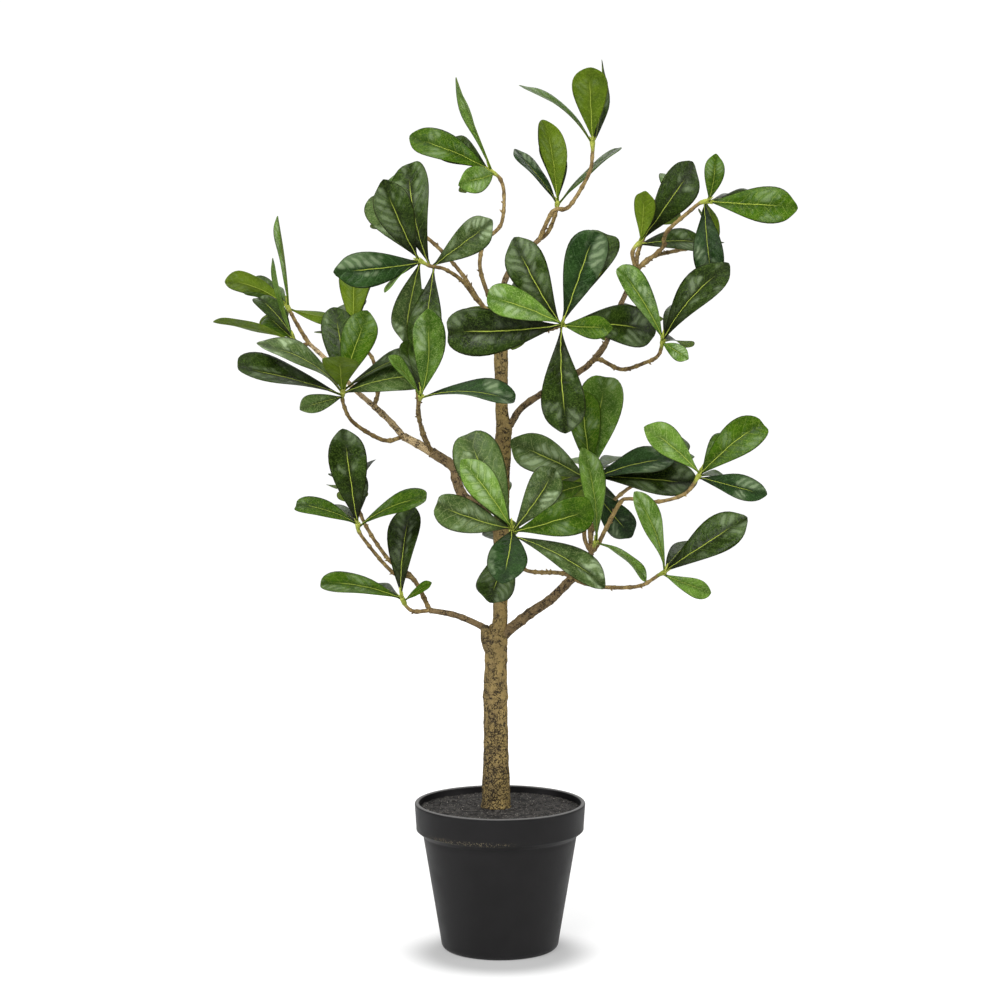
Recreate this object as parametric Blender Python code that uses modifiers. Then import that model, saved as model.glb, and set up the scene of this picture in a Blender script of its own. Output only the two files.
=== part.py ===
"""An artificial umbrella tree in a plastic pot, 0.89 m tall, in metres with +Z up.

The origin is the centre of the pot's flat underside, and the front faces -Y.
Limb routes and leaf lengths are written in millimetres, and angles in degrees.
"""

import math
import random

import bmesh
import bpy
from mathutils import Matrix, Vector
from mathutils.bvhtree import BVHTree

MM = 0.001
CLEAR = 0.35 * MM  # left between a limb and whatever it grows from

# Pot: a turned shell with a band round its rim
POT_HEIGHT = 0.150
RIM_RADIUS = 0.0860
BAND_FOOT_RADIUS = 0.0845
BAND_HEIGHT = 0.0265
SHOULDER_RADIUS = 0.0770
BODY_FOOT_RADIUS = 0.0595
WALL = 0.0028
LIP = 0.0045
FLOOR = 0.0045
TURNED_STEPS = 36

# Fill: weighted filling with a level top, a little below the rim
FILL_TOP = 0.1438
FILL_CROWN = 0.0008

# Limbs: bevel resolutions, and how far apart the rings of their tubes are
TRUNK_SIDES = 3
BOUGH_SIDES = 2
STEM_SIDES = 1
BOUGH_SPACING = 14 * MM
STEM_SPACING = 19 * MM
STEM_RADII = (2.2, 1.7)

# Leaf: a blade that widens from a narrow foot to its shoulders and is folded along its midrib
LEAF_WIDTH = 0.44  # share of its length
LEAF_THICKNESS = 0.016  # share of its length, at the midrib
LEAF_FOOT = 1.2  # half width where it leaves the stem
LEAF_RISE = 1.15  # power of the widening
LEAF_CLOSE = 0.5  # power of the rounded end
LEAF_STATIONS = (0.0, 0.3, 0.62, 0.88)
LEAF_BOW = (0.03, 0.08)
LEAF_SICKLE = (-0.03, 0.03)
LEAF_FOLD = (8, 18)
SECTION_SIDES = ((0, 1), (1, 2), (2, 3), (3, 0))
WHORL_STEP = 2.2  # between the feet of neighbouring leaves, along the stem
STEM_UPTURN = 0.8  # how far leaves with no set roll look up rather than along their stem

# Trunk: height, sideways place and radius at each station, in millimetres, up from the fill
TRUNK_FOOT = (FILL_TOP + FILL_CROWN + CLEAR) / MM
TRUNK = (
    (TRUNK_FOOT, -4, 15.4),
    (151, -4, 14.4),
    (178, -4, 13.6),
    (205, -4, 12.6),
    (250, -4.5, 12.2),
    (257, -4.5, 12.8),
    (264, -4.5, 12.0),
    (300, -4, 11.2),
    (312, -4.5, 12.4),
    (324, -2.5, 10.2),
    (336, 0, 7.6),
    (400, 1, 7.0),
    (422, 1, 8.2),
    (450, 2, 7.0),
    (512, 3, 8.2),
    (528, 4, 8.4),
    (545, 2, 6.4),
    (600, 1, 7.0),
    (628, 1, 6.4),
    (640, 0, 5.6),
)

# Boughs: what each springs from, its radius at foot and tip, and its route after that foot
BOUGHS = {
    "bough_lower_left": ("trunk", (-4, 0, 322), 3.4, 2.8, ((-14, -1, 327), (-43, -8, 341), (-70, -12, 347))),
    "bough_lower_right_low": ("trunk", (0, 0, 318), 5.6, 4.4, ((27, -8, 341), (51, -15, 359), (72, -22, 381))),
    "bough_lower_right_high": ("bough_lower_right_low", None, 3.4, 2.8, ((82, -22, 394), (91, -20, 406))),
    "bough_left_low": (
        "trunk",
        (2, 0, 420),
        4.6,
        5.2,
        ((-20, -5, 449), (-36, -8, 461), (-43, -10, 476), (-47, -9, 491), (-68, -5, 505)),
    ),
    "bough_left_mid": ("bough_left_low", None, 4.6, 4.0, ((-82, -3, 513), (-96, 0, 520))),
    "bough_left_high": ("bough_left_mid", None, 3.2, 3.0, ((-111, 8, 536), (-126, 15, 549))),
    "bough_left_tip": ("bough_left_high", None, 2.6, 2.2, ((-145, 30, 564), (-170, 52, 588), (-194, 74, 608))),
    "bough_right_low": ("trunk", (3, 0, 520), 3.6, 3.0, ((12, -2, 535), (27, -8, 554), (79, -20, 587), (89, -22, 595))),
    "bough_right_high": ("bough_right_low", None, 2.6, 2.4, ((103, -20, 611), (117, -12, 647), (135, -5, 686))),
    "bough_top": ("trunk", (0, 0, 638), 3.2, 2.4, ((3, 3, 658), (5, 6, 675), (16, 13, 694), (39, 22, 715))),
}

# Sprays: the bough each springs from, where on it, the stem's route, and its whorls of leaves.
# A whorl is how far back from the stem's end it sits, then each leaf's clock angle as seen from
# the front, lean towards the front, length, roll about its midrib and bow as a share of its
# length. Without a roll, the leaf turns its upper side to the stem's end, as leaves do.
SPRAYS = {
    "spray_crown_right": (
        "bough_top",
        None,
        ((50, 22, 739), (56, 23, 745), (69, 24, 748), (88, 27, 779), (92, 29, 799), (92, 30, 812)),
        ((0, ((356, 28, 81, 180), (308, 0, 88, 80, 0.1), (7, -20, 86, 70), (357, -42, 74, 30))),),
    ),
    "spray_crown_middle": (
        "bough_top",
        None,
        ((48, 32, 722), (55, 44, 738), (58, 58, 751)),
        ((0, ((351, 12, 84, 142, 0.01), (321, -25, 74, 64), (48, -20, 93, -81, 0.03), (352, -42, 78, 38))),),
    ),
    "spray_crown_left": (
        "trunk",
        (0, 0, 636),
        ((-13, 5, 664), (-20, 12, 690), (-15, 20, 713), (1, 27, 730), (4, 35, 759), (0, 38, 775), (-10, 40, 783)),
        ((0, ((292, -10, 87, 36), (339, 5, 97, -76, 0.0), (256, 60, 68, 0), (296, -46, 78, 25), (230, -60, 66))),),
    ),
    "spray_upper_left": (
        "trunk",
        (0, 0, 634),
        ((-22, -15, 656), (-36, -40, 676), (-53, -60, 689), (-68, -70, 693), (-79, -72, 699)),
        (
            (0, ((337, 20, 86, 0), (322, -25, 84, 12), (264, 15, 84, 0), (226, 15, 46, 72), (191, -15, 82, 20))),
            (13, ((348, -15, 106, -30), (54, -25, 76, 18), (190, 10, 80, 12))),
        ),
    ),
    "spray_far_left_high": (
        "bough_left_tip",
        None,
        ((-204, 86, 622), (-218, 108, 644)),
        ((0, ((291, -20, 74, 140), (354, 0, 90, -78, -0.02), (104, -30, 52, 118), (294, -42, 66, 30), (300, -58, 74), (228, -62, 70))),),
    ),
    "spray_far_left": (
        "bough_left_tip",
        None,
        ((-202, 62, 606), (-208, 48, 613)),
        ((0, ((346, 0, 82, -74, 0.03), (317, -30, 68, 48), (283, 0, 83, 112), (306, -56, 62))),),
    ),
    "spray_left": (
        "bough_left_mid",
        None,
        ((-116, -5, 517), (-145, -20, 536), (-154, -38, 556), (-154, -50, 570)),
        (
            (0, ((354, -15, 83, 0), (18, 5, 82, -10), (1, 60, 80, 180), (64, -10, 94, -72))),
            (4, ((301, 10, 94, 68, 0.12), (286, 15, 112, 66), (257, 35, 50, 35), (78, 0, 87, -45))),
        ),
    ),
    "spray_left_back": (
        "bough_left_high",
        None,
        ((-123, 40, 563), (-129, 75, 591), (-141, 95, 603), (-151, 110, 614)),
        ((0, ((3, 15, 78, 180), (8, -40, 86), (14, -52, 80), (194, -50, 78), (204, -66, 76), (270, -62, 76), (350, -70, 84))),),
    ),
    "spray_left_front": (
        "bough_left_low",
        None,
        ((-75, -35, 526), (-80, -75, 551), (-76, -110, 570)),
        ((0, ((4, 10, 82, 25), (323, 10, 50, 62), (92, 10, 94, -66, 0.08), (350, -50, 78), (8, -50, 78))),),
    ),
    "spray_centre": (
        "trunk",
        (1, 0, 622),
        ((29, -50, 629), (48, -95, 633), (60, -130, 640)),
        (
            (0, ((291, 20, 84, 25), (19, 0, 96, 0), (91, 25, 51, 0), (267, 0, 114, 0))),
            (5, ((331, -5, 91, 0), (27, -20, 106, -25), (95, -25, 99, -25), (177, 5, 100, 0))),
        ),
    ),
    "spray_far_right": (
        "bough_right_high",
        None,
        ((160, -14, 708), (161, -19, 716), (165, -25, 726), (181, -35, 741), (195, -45, 753), (203, -50, 755)),
        ((0, ((7, 20, 47, 0), (93, 0, 85, -10), (175, 15, 76, 34), (99, -50, 78, -80), (95, -44, 86), (170, -62, 70))),),
    ),
    "spray_upper_right": (
        "bough_right_high",
        None,
        ((131, -3, 700), (133, -3, 708), (139, 0, 713)),
        ((0, ((3, 25, 54, 150), (36, -18, 97, 15), (89, -25, 76, -50))),),
    ),
    "spray_right": (
        "bough_right_low",
        None,
        ((98, -28, 599), (119, -50, 591), (141, -70, 599), (153, -85, 607), (157, -100, 623)),
        ((0, ((328, 10, 86, 48), (41, -5, 95, -44), (120, 45, 37, 0), (45, -52, 82, -62), (112, -68, 66))),),
    ),
    "spray_right_middle": (
        "bough_lower_right_high",
        None,
        ((97, -26, 415), (105, -32, 432), (118, -36, 457), (127, -37, 462), (153, -39, 459), (182, -40, 467), (197, -42, 487)),
        ((0, ((311, 15, 74, 28), (50, 0, 84, -18), (105, 0, 69, -40), (57, -49, 82), (110, -52, 72))),),
    ),
    "spray_middle_right": (
        "bough_lower_right_high",
        None,
        ((84, -15, 421), (86, -8, 447), (90, 10, 479)),
        (
            (0, ((353, 10, 89, 24), (9, -10, 106, -10), (298, 22, 93, 0), (94, 0, 106, -45))),
            (5, ((76, -5, 88, -50), (248, -40, 74, 0), (142, -25, 76, 0))),
        ),
    ),
    "spray_right_young": (
        "bough_lower_right_high",
        None,
        ((95, -38, 420),),
        ((0, ((352, 10, 93, 52), (127, 10, 62, -76, 0.1))),),
    ),
    "spray_lower_right": (
        "bough_lower_right_low",
        None,
        ((82, -26, 377), (103, -30, 373), (137, -45, 376), (157, -55, 389), (162, -60, 392)),
        ((0, ((339, 10, 86, 60), (56, 0, 95, -32), (109, 15, 52, 25), (57, -56, 76, -82))),),
    ),
    "spray_front": (
        "bough_lower_right_low",
        None,
        ((60, -45, 389), (25, -88, 398), (13, -115, 421), (11, -130, 444)),
        (
            (0, ((325, 15, 83, 26), (193, 64, 90, 0), (72, 15, 86, 0), (290, 15, 82, 0))),
            (5, ((336, -10, 107, 10), (197, -30, 83, 0), (117, 10, 100, -54, 0.08), (37, -35, 84, 0))),
        ),
    ),
    "spray_lower_left_high": (
        "bough_lower_left",
        None,
        ((-86, -8, 377), (-108, -5, 385), (-137, -25, 423), (-141, -30, 437)),
        ((0, ((352, 0, 92, 0), (288, 0, 67, 58), (65, 15, 80, -62, 0.08), (350, -50, 76, 30), (292, -50, 60, 80))),),
    ),
    "spray_lower_left": (
        "bough_lower_left",
        None,
        ((-84, -14, 346), (-92, -17, 350), (-98, -20, 361)),
        ((0, ((6, -15, 91, -38), (282, 5, 85, 58), (56, 5, 33, -50), (276, -54, 68, 84))),),
    ),
    "spray_back_centre": (
        "trunk",
        (1, 0, 608),
        ((4, 40, 618), (8, 90, 632), (10, 130, 640)),
        ((0, ((30, -52, 88), (80, -60, 82), (128, -66, 80), (178, -56, 82), (214, -44, 86), (244, -46, 86), (305, -72, 74))),),
    ),
    "spray_back_low": (
        "trunk",
        (1, 0, 405),
        ((0, 40, 412), (-3, 90, 420), (-4, 130, 429)),
        ((0, ((0, -42, 88), (358, -72, 80), (165, -60, 80), (170, -60, 80, 30), (240, -55, 84), (266, -60, 80), (330, -42, 90))),),
    ),
    "spray_back_middle_right": (
        "bough_lower_right_high",
        None,
        ((90, 10, 428), (92, 50, 452), (96, 90, 477)),
        ((0, ((0, -42, 88), (78, -62, 76, -85), (92, -62, 84), (158, -45, 84, 25), (212, -42, 88), (245, -44, 86), (270, -62, 72, 85))),),
    ),
    "spray_back_upper_left": (
        "trunk",
        (0, 0, 628),
        ((-22, 22, 656), (-40, 45, 682), (-70, 70, 712), (-104, 92, 734)),
        ((0, ((2, -56, 82), (25, -62, 80), (110, -76, 78), (180, -76, 78), (238, -74, 80), (305, -70, 82))),),
    ),
    "spray_back_left": (
        "bough_left_low",
        None,
        ((-79, 30, 524), (-84, 80, 562), (-83, 130, 589)),
        ((0, ((0, -42, 88), (12, -62, 80), (172, -74, 76), (240, -66, 82, 85), (258, -72, 80), (342, -60, 84))),),
    ),
    "spray_back_right": (
        "bough_right_low",
        None,
        ((100, 10, 606), (113, 50, 620), (124, 90, 635)),
        ((0, ((86, -72, 80, -88), (110, -64, 84), (158, -66, 82), (205, -66, 82), (248, -62, 82, 85))),),
    ),
    "spray_back_crown_right": (
        "bough_right_high",
        None,
        ((138, 22, 704), (152, 55, 730), (170, 90, 750)),
        ((0, ((22, -70, 78), (62, -70, 80), (100, -76, 76), (186, -72, 76), (225, -76, 72))),),
    ),
    "spray_back_far_right": (
        "bough_right_high",
        None,
        ((150, 22, 697), (180, 56, 703), (212, 90, 706)),
        ((0, ((355, -70, 76), (60, -84, 72), (168, -62, 80))),),
    ),
    "spray_back_lower_left": (
        "bough_lower_left",
        None,
        ((-88, 10, 377), (-112, 30, 392), (-138, 60, 426), (-151, 90, 458)),
        ((0, ((186, -72, 74), (250, -75, 74), (298, -75, 78), (342, -66, 82), (28, -73, 78))),),
    ),
    "spray_back_lower_right": (
        "bough_lower_right_high",
        None,
        ((92, 30, 415), (100, 70, 430), (130, 102, 455), (170, 130, 473)),
        ((0, ((25, -65, 84), (60, -70, 80), (118, -68, 82), (170, -66, 82), (225, -68, 80))),),
    ),
}


def placed(point):
    """A point written in millimetres, in metres."""
    return Vector(point) * MM


def between(before, start, end, after, share):
    """A point of the smooth curve from start to end, which also heeds the points before and after."""
    return 0.5 * (
        2 * start
        + (end - before) * share
        + (2 * before - 5 * start + 4 * end - after) * share**2
        + (3 * start - before - 3 * end + after) * share**3
    )


def smooth_route(corners, spacing):
    """Points about one spacing apart on a smooth curve through the corners."""
    ends = [2 * corners[0] - corners[1], *corners, 2 * corners[-1] - corners[-2]]
    route = []
    for before, start, end, after in zip(ends, ends[1:], ends[2:], ends[3:]):
        steps = max(1, round((end - start).length / spacing))
        route += [between(before, start, end, after, step / steps) for step in range(steps)]
    return [*route, corners[-1].copy()]


def taper(foot, tip, count):
    """Radii in millimetres from foot to tip, with a knuckle at the tip."""
    radii = [foot + (tip - foot) * index / (count - 1) for index in range(count)]
    radii[-1] *= 1.12
    return radii


def material(name, colour, roughness):
    made = bpy.data.materials.new(name)
    made.use_nodes = True
    shader = made.node_tree.nodes["Principled BSDF"]
    shader.inputs["Base Color"].default_value = (*colour, 1)
    shader.inputs["Roughness"].default_value = roughness
    shader.inputs["Metallic"].default_value = 0
    made.diffuse_color = (*colour, 1)
    return made


def link(name, mesh, collection):
    made = bpy.data.objects.new(name, mesh)
    collection.objects.link(made)
    return made


def evaluated_mesh(source):
    """The object's mesh with its modifiers or bevel applied and its doubles welded."""
    graph = bpy.context.evaluated_depsgraph_get()
    mesh = bpy.data.meshes.new_from_object(source.evaluated_get(graph))
    work = bmesh.new()
    work.from_mesh(mesh)
    bmesh.ops.remove_doubles(work, verts=work.verts, dist=1e-7)
    work.to_mesh(mesh)
    work.free()
    return mesh


def tube(name, route, radii, bevel_resolution, collection):
    """A tapering tube along a route, as a mesh: each point's radius is in millimetres."""
    curve = bpy.data.curves.new(name + "_curve", "CURVE")
    curve.dimensions = "3D"
    curve.bevel_depth = MM
    curve.bevel_resolution = bevel_resolution
    curve.use_fill_caps = True
    spline = curve.splines.new("POLY")
    spline.points.add(len(route) - 1)
    for point, place, radius in zip(spline.points, route, radii):
        point.co = (*place, 1)
        point.radius = radius
    guide = link(name + "_guide", curve, collection)
    made = link(name, evaluated_mesh(guide), collection)
    made.matrix_world = guide.matrix_world
    bpy.data.objects.remove(guide)
    bpy.data.curves.remove(curve)
    return made


def largest_body(mesh):
    """Keeps the mesh's largest shell, and drops loose scraps and the walls of sealed hollows."""
    work = bmesh.new()
    work.from_mesh(mesh)
    unseen = set(work.faces)
    shells = []
    while unseen:
        shell = {unseen.pop()}
        front = shell
        while front:
            front = {near for face in front for edge in face.edges for near in edge.link_faces} & unseen
            unseen -= front
            shell = shell | front
        shells.append(shell)
    keep = max(shells, key=span)
    scraps = [face for shell in shells if shell is not keep for face in shell]
    bmesh.ops.delete(work, geom=scraps, context="FACES")
    work.to_mesh(mesh)
    work.free()


def span(faces):
    """The diagonal of the box round some faces."""
    places = [vert.co for face in faces for vert in face.verts]
    sides = list(zip(*places))
    return math.dist([min(side) for side in sides], [max(side) for side in sides])


def apply_boolean(target, operation, solver="EXACT", cutter=None, collection=None):
    """Runs one Boolean on the target and keeps the result as its mesh."""
    modifier = target.modifiers.new(operation.lower(), "BOOLEAN")
    modifier.operation = operation
    modifier.solver = solver
    if collection:
        modifier.operand_type = "COLLECTION"
        modifier.collection = collection
    else:
        modifier.object = cutter
    old = target.data
    mesh = evaluated_mesh(target)
    target.modifiers.remove(modifier)
    target.data = mesh
    bpy.data.meshes.remove(old)
    largest_body(mesh)


def boxes_meet(first, second):
    """Whether the boxes round two meshes meet."""
    sides = []
    for made in (first, second):
        corners = [made.matrix_world @ Vector(corner) for corner in made.bound_box]
        sides.append([(min(c[axis] for c in corners), max(c[axis] for c in corners)) for axis in range(3)])
    return all(a[0] <= b[1] and b[0] <= a[1] for a, b in zip(*sides))


def surface(made):
    """A search tree of an object's faces, for finding what touches it."""
    mesh = made.data
    return BVHTree.FromPolygons([v.co for v in mesh.vertices], [p.vertices for p in mesh.polygons])


def turned(name, profile, collection):
    """A solid turned about +Z from a profile that runs down its outer side, closed on the axis."""
    work = bmesh.new()
    verts = [work.verts.new((radius, 0, height)) for radius, height in profile]
    for first, second in zip(verts, verts[1:]):
        work.edges.new((first, second))
    mesh = bpy.data.meshes.new(name)
    work.to_mesh(mesh)
    work.free()
    made = link(name, mesh, collection)
    screw = made.modifiers.new("turn", "SCREW")
    screw.steps = TURNED_STEPS
    screw.render_steps = TURNED_STEPS
    screw.use_merge_vertices = True
    screw.merge_threshold = 1e-5
    screw.use_smooth_shade = True
    return made


def arc(centre, radius, start, end, steps):
    """Profile points round a centre, from one angle to another, in degrees."""
    points = []
    for step in range(steps + 1):
        angle = math.radians(start + (end - start) * step / steps)
        points.append((centre[0] + radius * math.cos(angle), centre[1] + radius * math.sin(angle)))
    return points


def wall_inside(height):
    """The pot's inner radius at a height below its shoulder."""
    share = height / (POT_HEIGHT - BAND_HEIGHT)
    return BODY_FOOT_RADIUS - WALL + (SHOULDER_RADIUS - BODY_FOOT_RADIUS) * share


def make_pot(collection):
    band_foot = POT_HEIGHT - BAND_HEIGHT
    round_in = 0.005
    heel = 0.007
    lip_round = 0.0016
    inner_step = band_foot - 0.008
    profile = [(0, FLOOR), (wall_inside(FLOOR), FLOOR), (wall_inside(inner_step), inner_step)]
    profile += [(RIM_RADIUS - LIP, band_foot + 0.002)]
    profile += arc((RIM_RADIUS - LIP + lip_round, POT_HEIGHT - lip_round), lip_round, 180, 90, 2)
    profile += arc((RIM_RADIUS - lip_round, POT_HEIGHT - lip_round), lip_round, 90, 0, 2)
    profile += arc((BAND_FOOT_RADIUS - round_in, band_foot), round_in, 0, -75, 3)
    profile += [(SHOULDER_RADIUS, band_foot - 0.0095)]
    profile += arc((BODY_FOOT_RADIUS - heel, heel), heel, 0, -90, 3)
    profile += [(0, 0)]
    return turned("pot", profile, collection)


def make_fill(collection):
    gap = CLEAR
    step = POT_HEIGHT - BAND_HEIGHT - 0.008
    profile = [
        (0, FILL_TOP + FILL_CROWN),
        (0.06, FILL_TOP + FILL_CROWN * 0.5),
        (RIM_RADIUS - LIP - gap, FILL_TOP - FILL_CROWN),
        (RIM_RADIUS - LIP - gap, step + 0.010 + gap),
        (wall_inside(step) - gap, step + gap),
        (wall_inside(FLOOR) - gap, FLOOR + gap),
        (0, FLOOR + gap),
    ]
    return turned("fill", profile, collection)


def make_trunk(collection, wider=0.0):
    route = [placed((across, 0, height)) for height, across, radius in TRUNK]
    radii = [radius + wider / MM for height, across, radius in TRUNK]
    return tube("trunk", route, radii, TRUNK_SIDES, collection)


class Limb:
    """A tapering limb: its route, its radii and the object made from them."""

    def __init__(self, name, corners, foot, tip, sides, spacing):
        self.name = name
        self.end = corners[-1]
        self.route = smooth_route([placed(corner) for corner in corners], spacing)
        self.radii = taper(foot, tip, len(self.route))
        self.sides = sides
        self.made = None

    def shape(self, collection, wider=0.0):
        radii = [radius + wider / MM for radius in self.radii]
        route = list(self.route)
        if wider:
            route[-1] = route[-1] + (route[-1] - route[-2]).normalized() * wider
        return tube(self.name, route, radii, self.sides, collection)


def cut_clear(made, limbs, trunk, workshop):
    """Cuts a limb back to just clear of the trunk and of the limbs made before it."""
    for limb in (None, *limbs):
        neighbour = limb.made if limb else trunk
        if not boxes_meet(made, neighbour):
            continue
        cutter = limb.shape(workshop, CLEAR) if limb else make_trunk(workshop, CLEAR)
        apply_boolean(made, "DIFFERENCE", cutter=cutter)
        bpy.data.objects.remove(cutter)


def half_width(length, share, wide):
    """Half a leaf's width at a share of its length."""
    peak_at = LEAF_RISE / (LEAF_RISE + LEAF_CLOSE)
    peak = peak_at**LEAF_RISE * (1 - peak_at) ** LEAF_CLOSE
    shape = share**LEAF_RISE * (1 - share) ** LEAF_CLOSE / peak
    return max(LEAF_FOOT, 0.5 * LEAF_WIDTH * wide * length * shape) * MM


def leaf_axes(tip_way, clock, lean, roll):
    """A leaf's direction, the way its face looks and its side."""
    clock, lean = map(math.radians, (clock, lean))
    along = Vector((math.sin(clock) * math.cos(lean), -math.sin(lean), math.cos(clock) * math.cos(lean)))
    looks_to = tip_way if roll is None else Vector((0, -1, 0))
    face = (looks_to - along * looks_to.dot(along)).normalized()
    face.rotate(Matrix.Rotation(math.radians(roll or 0), 3, along))
    return along, face, along.cross(face)


def make_leaf(foot, axes, length, bow, draw, collection):
    """A leaf lofted from cross sections that are folded at the midrib and thin to their edges."""
    along, face, side = axes
    usual_bow = draw.uniform(*LEAF_BOW)
    bow = usual_bow if bow is None else bow
    sickle = draw.uniform(*LEAF_SICKLE)
    fold = math.radians(draw.uniform(*LEAF_FOLD))
    wide = draw.uniform(0.95, 1.05)
    thick = LEAF_THICKNESS * length * MM / 2

    def middle(share):
        arch = 4 * share * (1 - share)
        return foot + (along * share + face * bow * arch + side * sickle * arch) * length * MM

    work = bmesh.new()
    rings = []
    for share in LEAF_STATIONS:
        half = half_width(length, share, wide)
        edge = side * half * math.cos(fold)
        lift = face * half * math.sin(fold)
        centre = middle(share)
        ring = (centre + edge + lift, centre + face * thick, centre - edge + lift, centre - face * thick)
        rings.append([work.verts.new(point) for point in ring])
    tip = work.verts.new(middle(1.0))
    for lower, upper in zip(rings, rings[1:]):
        for corner, after in SECTION_SIDES:
            work.faces.new((lower[corner], lower[after], upper[after], upper[corner]))
    for corner, after in SECTION_SIDES:
        work.faces.new((rings[-1][corner], rings[-1][after], tip))
    work.faces.new(rings[0])
    bmesh.ops.recalc_face_normals(work, faces=work.faces)
    mesh = bpy.data.meshes.new("leaf")
    work.to_mesh(mesh)
    work.free()
    return link("leaf", mesh, collection)


def point_back(route, distance):
    """The point of a route that lies this far before its end."""
    for later, earlier in zip(route[::-1], route[-2::-1]):
        step = (earlier - later).length
        if distance <= step:
            return later.lerp(earlier, distance / step)
        distance -= step
    return route[0].copy()


def is_closed(mesh):
    """Whether every edge of a mesh joins exactly two faces that look the same way."""
    work = bmesh.new()
    work.from_mesh(mesh)
    closed = all(edge.is_manifold and edge.is_contiguous for edge in work.edges)
    work.free()
    return closed


def join_spray(stem, leaves, joining):
    """Fuses the leaves to their stem with one union on their collection."""
    bare = stem.data.copy()
    apply_boolean(stem, "UNION", collection=joining)
    if not is_closed(stem.data):
        stem.data = bare
        apply_boolean(stem, "UNION", solver="MANIFOLD", collection=joining)
    for leaf in leaves:
        bpy.data.objects.remove(leaf)


def make_spray(name, stem, whorls, solids, workshop):
    """A stem with its whorls of leaves, leaving out a leaf that would touch another piece."""
    joining = bpy.data.collections.new("joining")
    workshop.children.link(joining)
    draw = random.Random(name)
    stem_way = (stem.route[-1] - stem.route[-2]).normalized()
    tip_way = (stem_way + STEM_UPTURN * Vector((0, 0, 1))).normalized()
    kept = []
    for back, leaves in whorls:
        for index, (clock, lean, length, *rest) in enumerate(leaves):
            roll, bow = (*rest, None, None)[:2]
            foot = point_back(stem.route, (back + (index % 3) * WHORL_STEP) * MM)
            leaf = make_leaf(foot, leaf_axes(tip_way, clock, lean, roll), length, bow, draw, joining)
            shape = surface(leaf)
            touched = [other for other, tree in solids.items() if shape.overlap(tree)]
            if touched:
                print(f"{name}: leaf at {clock}, {lean} left out, it touches {touched}")
                bpy.data.objects.remove(leaf)
                continue
            kept.append(leaf)
    join_spray(stem.made, kept, joining)
    bpy.data.collections.remove(joining)
    solids[name] = surface(stem.made)


def clear_scene():
    for made in list(bpy.data.objects):
        bpy.data.objects.remove(made)


def main():
    clear_scene()
    scene = bpy.context.scene
    tree = bpy.data.collections.new("umbrella_tree")
    workshop = bpy.data.collections.new("workshop")
    for collection in (tree, workshop):
        scene.collection.children.link(collection)

    black = material("satin_black_plastic", (0.022, 0.022, 0.024), 0.42)
    gravel = material("dark_filling", (0.035, 0.033, 0.032), 0.9)
    bark = material("brown_bark", (0.19, 0.13, 0.065), 0.75)
    green = material("leaf_green", (0.035, 0.11, 0.028), 0.35)

    make_pot(tree).data.materials.append(black)
    make_fill(tree).data.materials.append(gravel)
    trunk = make_trunk(tree)
    solids = {"trunk": surface(trunk)}
    limbs = {}
    for name, (parent, foot, thick, thin, corners) in BOUGHS.items():
        limb = Limb(name, (foot or limbs[parent].end, *corners), thick, thin, BOUGH_SIDES, BOUGH_SPACING)
        limb.made = limb.shape(tree)
        cut_clear(limb.made, limbs.values(), trunk, workshop)
        limbs[name] = limb
        solids[name] = surface(limb.made)
    for made in (trunk, *(limb.made for limb in limbs.values())):
        made.data.materials.append(bark)
        made.data.shade_smooth()

    stems = {}
    for name, (parent, foot, corners, whorls) in SPRAYS.items():
        stem = Limb(name, (foot or limbs[parent].end, *corners), *STEM_RADII, STEM_SIDES, STEM_SPACING)
        stem.made = stem.shape(tree)
        cut_clear(stem.made, [*limbs.values(), *stems.values()], trunk, workshop)
        stems[name] = stem
        solids[name] = surface(stem.made)
    for name, (parent, foot, corners, whorls) in SPRAYS.items():
        others = {other: shape for other, shape in solids.items() if other != name}
        make_spray(name, stems[name], whorls, others, workshop)
        solids[name] = others[name]
        stems[name].made.data.materials.append(green)
    bpy.data.collections.remove(workshop)


main()
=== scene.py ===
# %% [markdown]
# # An artificial umbrella tree in a plastic pot
# The real object is a shop-made plant: a wire trunk coated in moulded bark, thin wired twigs that
# are pushed into it, whorls of stiff glossy leaves clipped on the twig ends, and a black nursery
# pot filled with dark grit. The solids of all this are loaded first and stay as they are.
# Everything below is a finer skin over them, made in the same place and at the same size.

# %% Load the solids
import itertools
import math
import random

import bpy
import numpy as np
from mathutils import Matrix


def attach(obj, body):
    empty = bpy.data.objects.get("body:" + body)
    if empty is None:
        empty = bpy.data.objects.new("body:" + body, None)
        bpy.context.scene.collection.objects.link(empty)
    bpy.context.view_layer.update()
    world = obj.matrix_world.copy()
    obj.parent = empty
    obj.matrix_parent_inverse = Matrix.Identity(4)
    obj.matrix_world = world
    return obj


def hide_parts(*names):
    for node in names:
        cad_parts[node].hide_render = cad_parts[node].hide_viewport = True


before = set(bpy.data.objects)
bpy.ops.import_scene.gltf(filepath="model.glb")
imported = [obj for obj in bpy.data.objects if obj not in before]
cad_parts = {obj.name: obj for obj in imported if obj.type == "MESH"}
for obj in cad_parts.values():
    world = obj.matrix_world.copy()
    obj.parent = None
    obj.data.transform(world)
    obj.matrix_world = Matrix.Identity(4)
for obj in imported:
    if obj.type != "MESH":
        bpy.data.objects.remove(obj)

MM = 0.001
UP = np.array((0.0, 0.0, 1.0))
FRONT = np.array((0.0, -1.0, 0.0))
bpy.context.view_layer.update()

# %% [markdown]
# ## The camera
# The pot's rim shows as a flat ellipse and its foot as a rounder one. The two ellipses fix how far
# away the camera stands and how much it looks down, because a nearer or a higher camera would open
# them differently. A long lens from over three metres keeps the leaves free of distortion.

# %% The camera
CAMERA_BACK = 3.3
CAMERA_HEIGHT = 0.84
CAMERA_PITCH = 6.63  # degrees down
PICTURE_SIDE = 1000
FOCAL_LENGTH = 3328  # in pixels of that picture
SENSOR = 36.0

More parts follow.
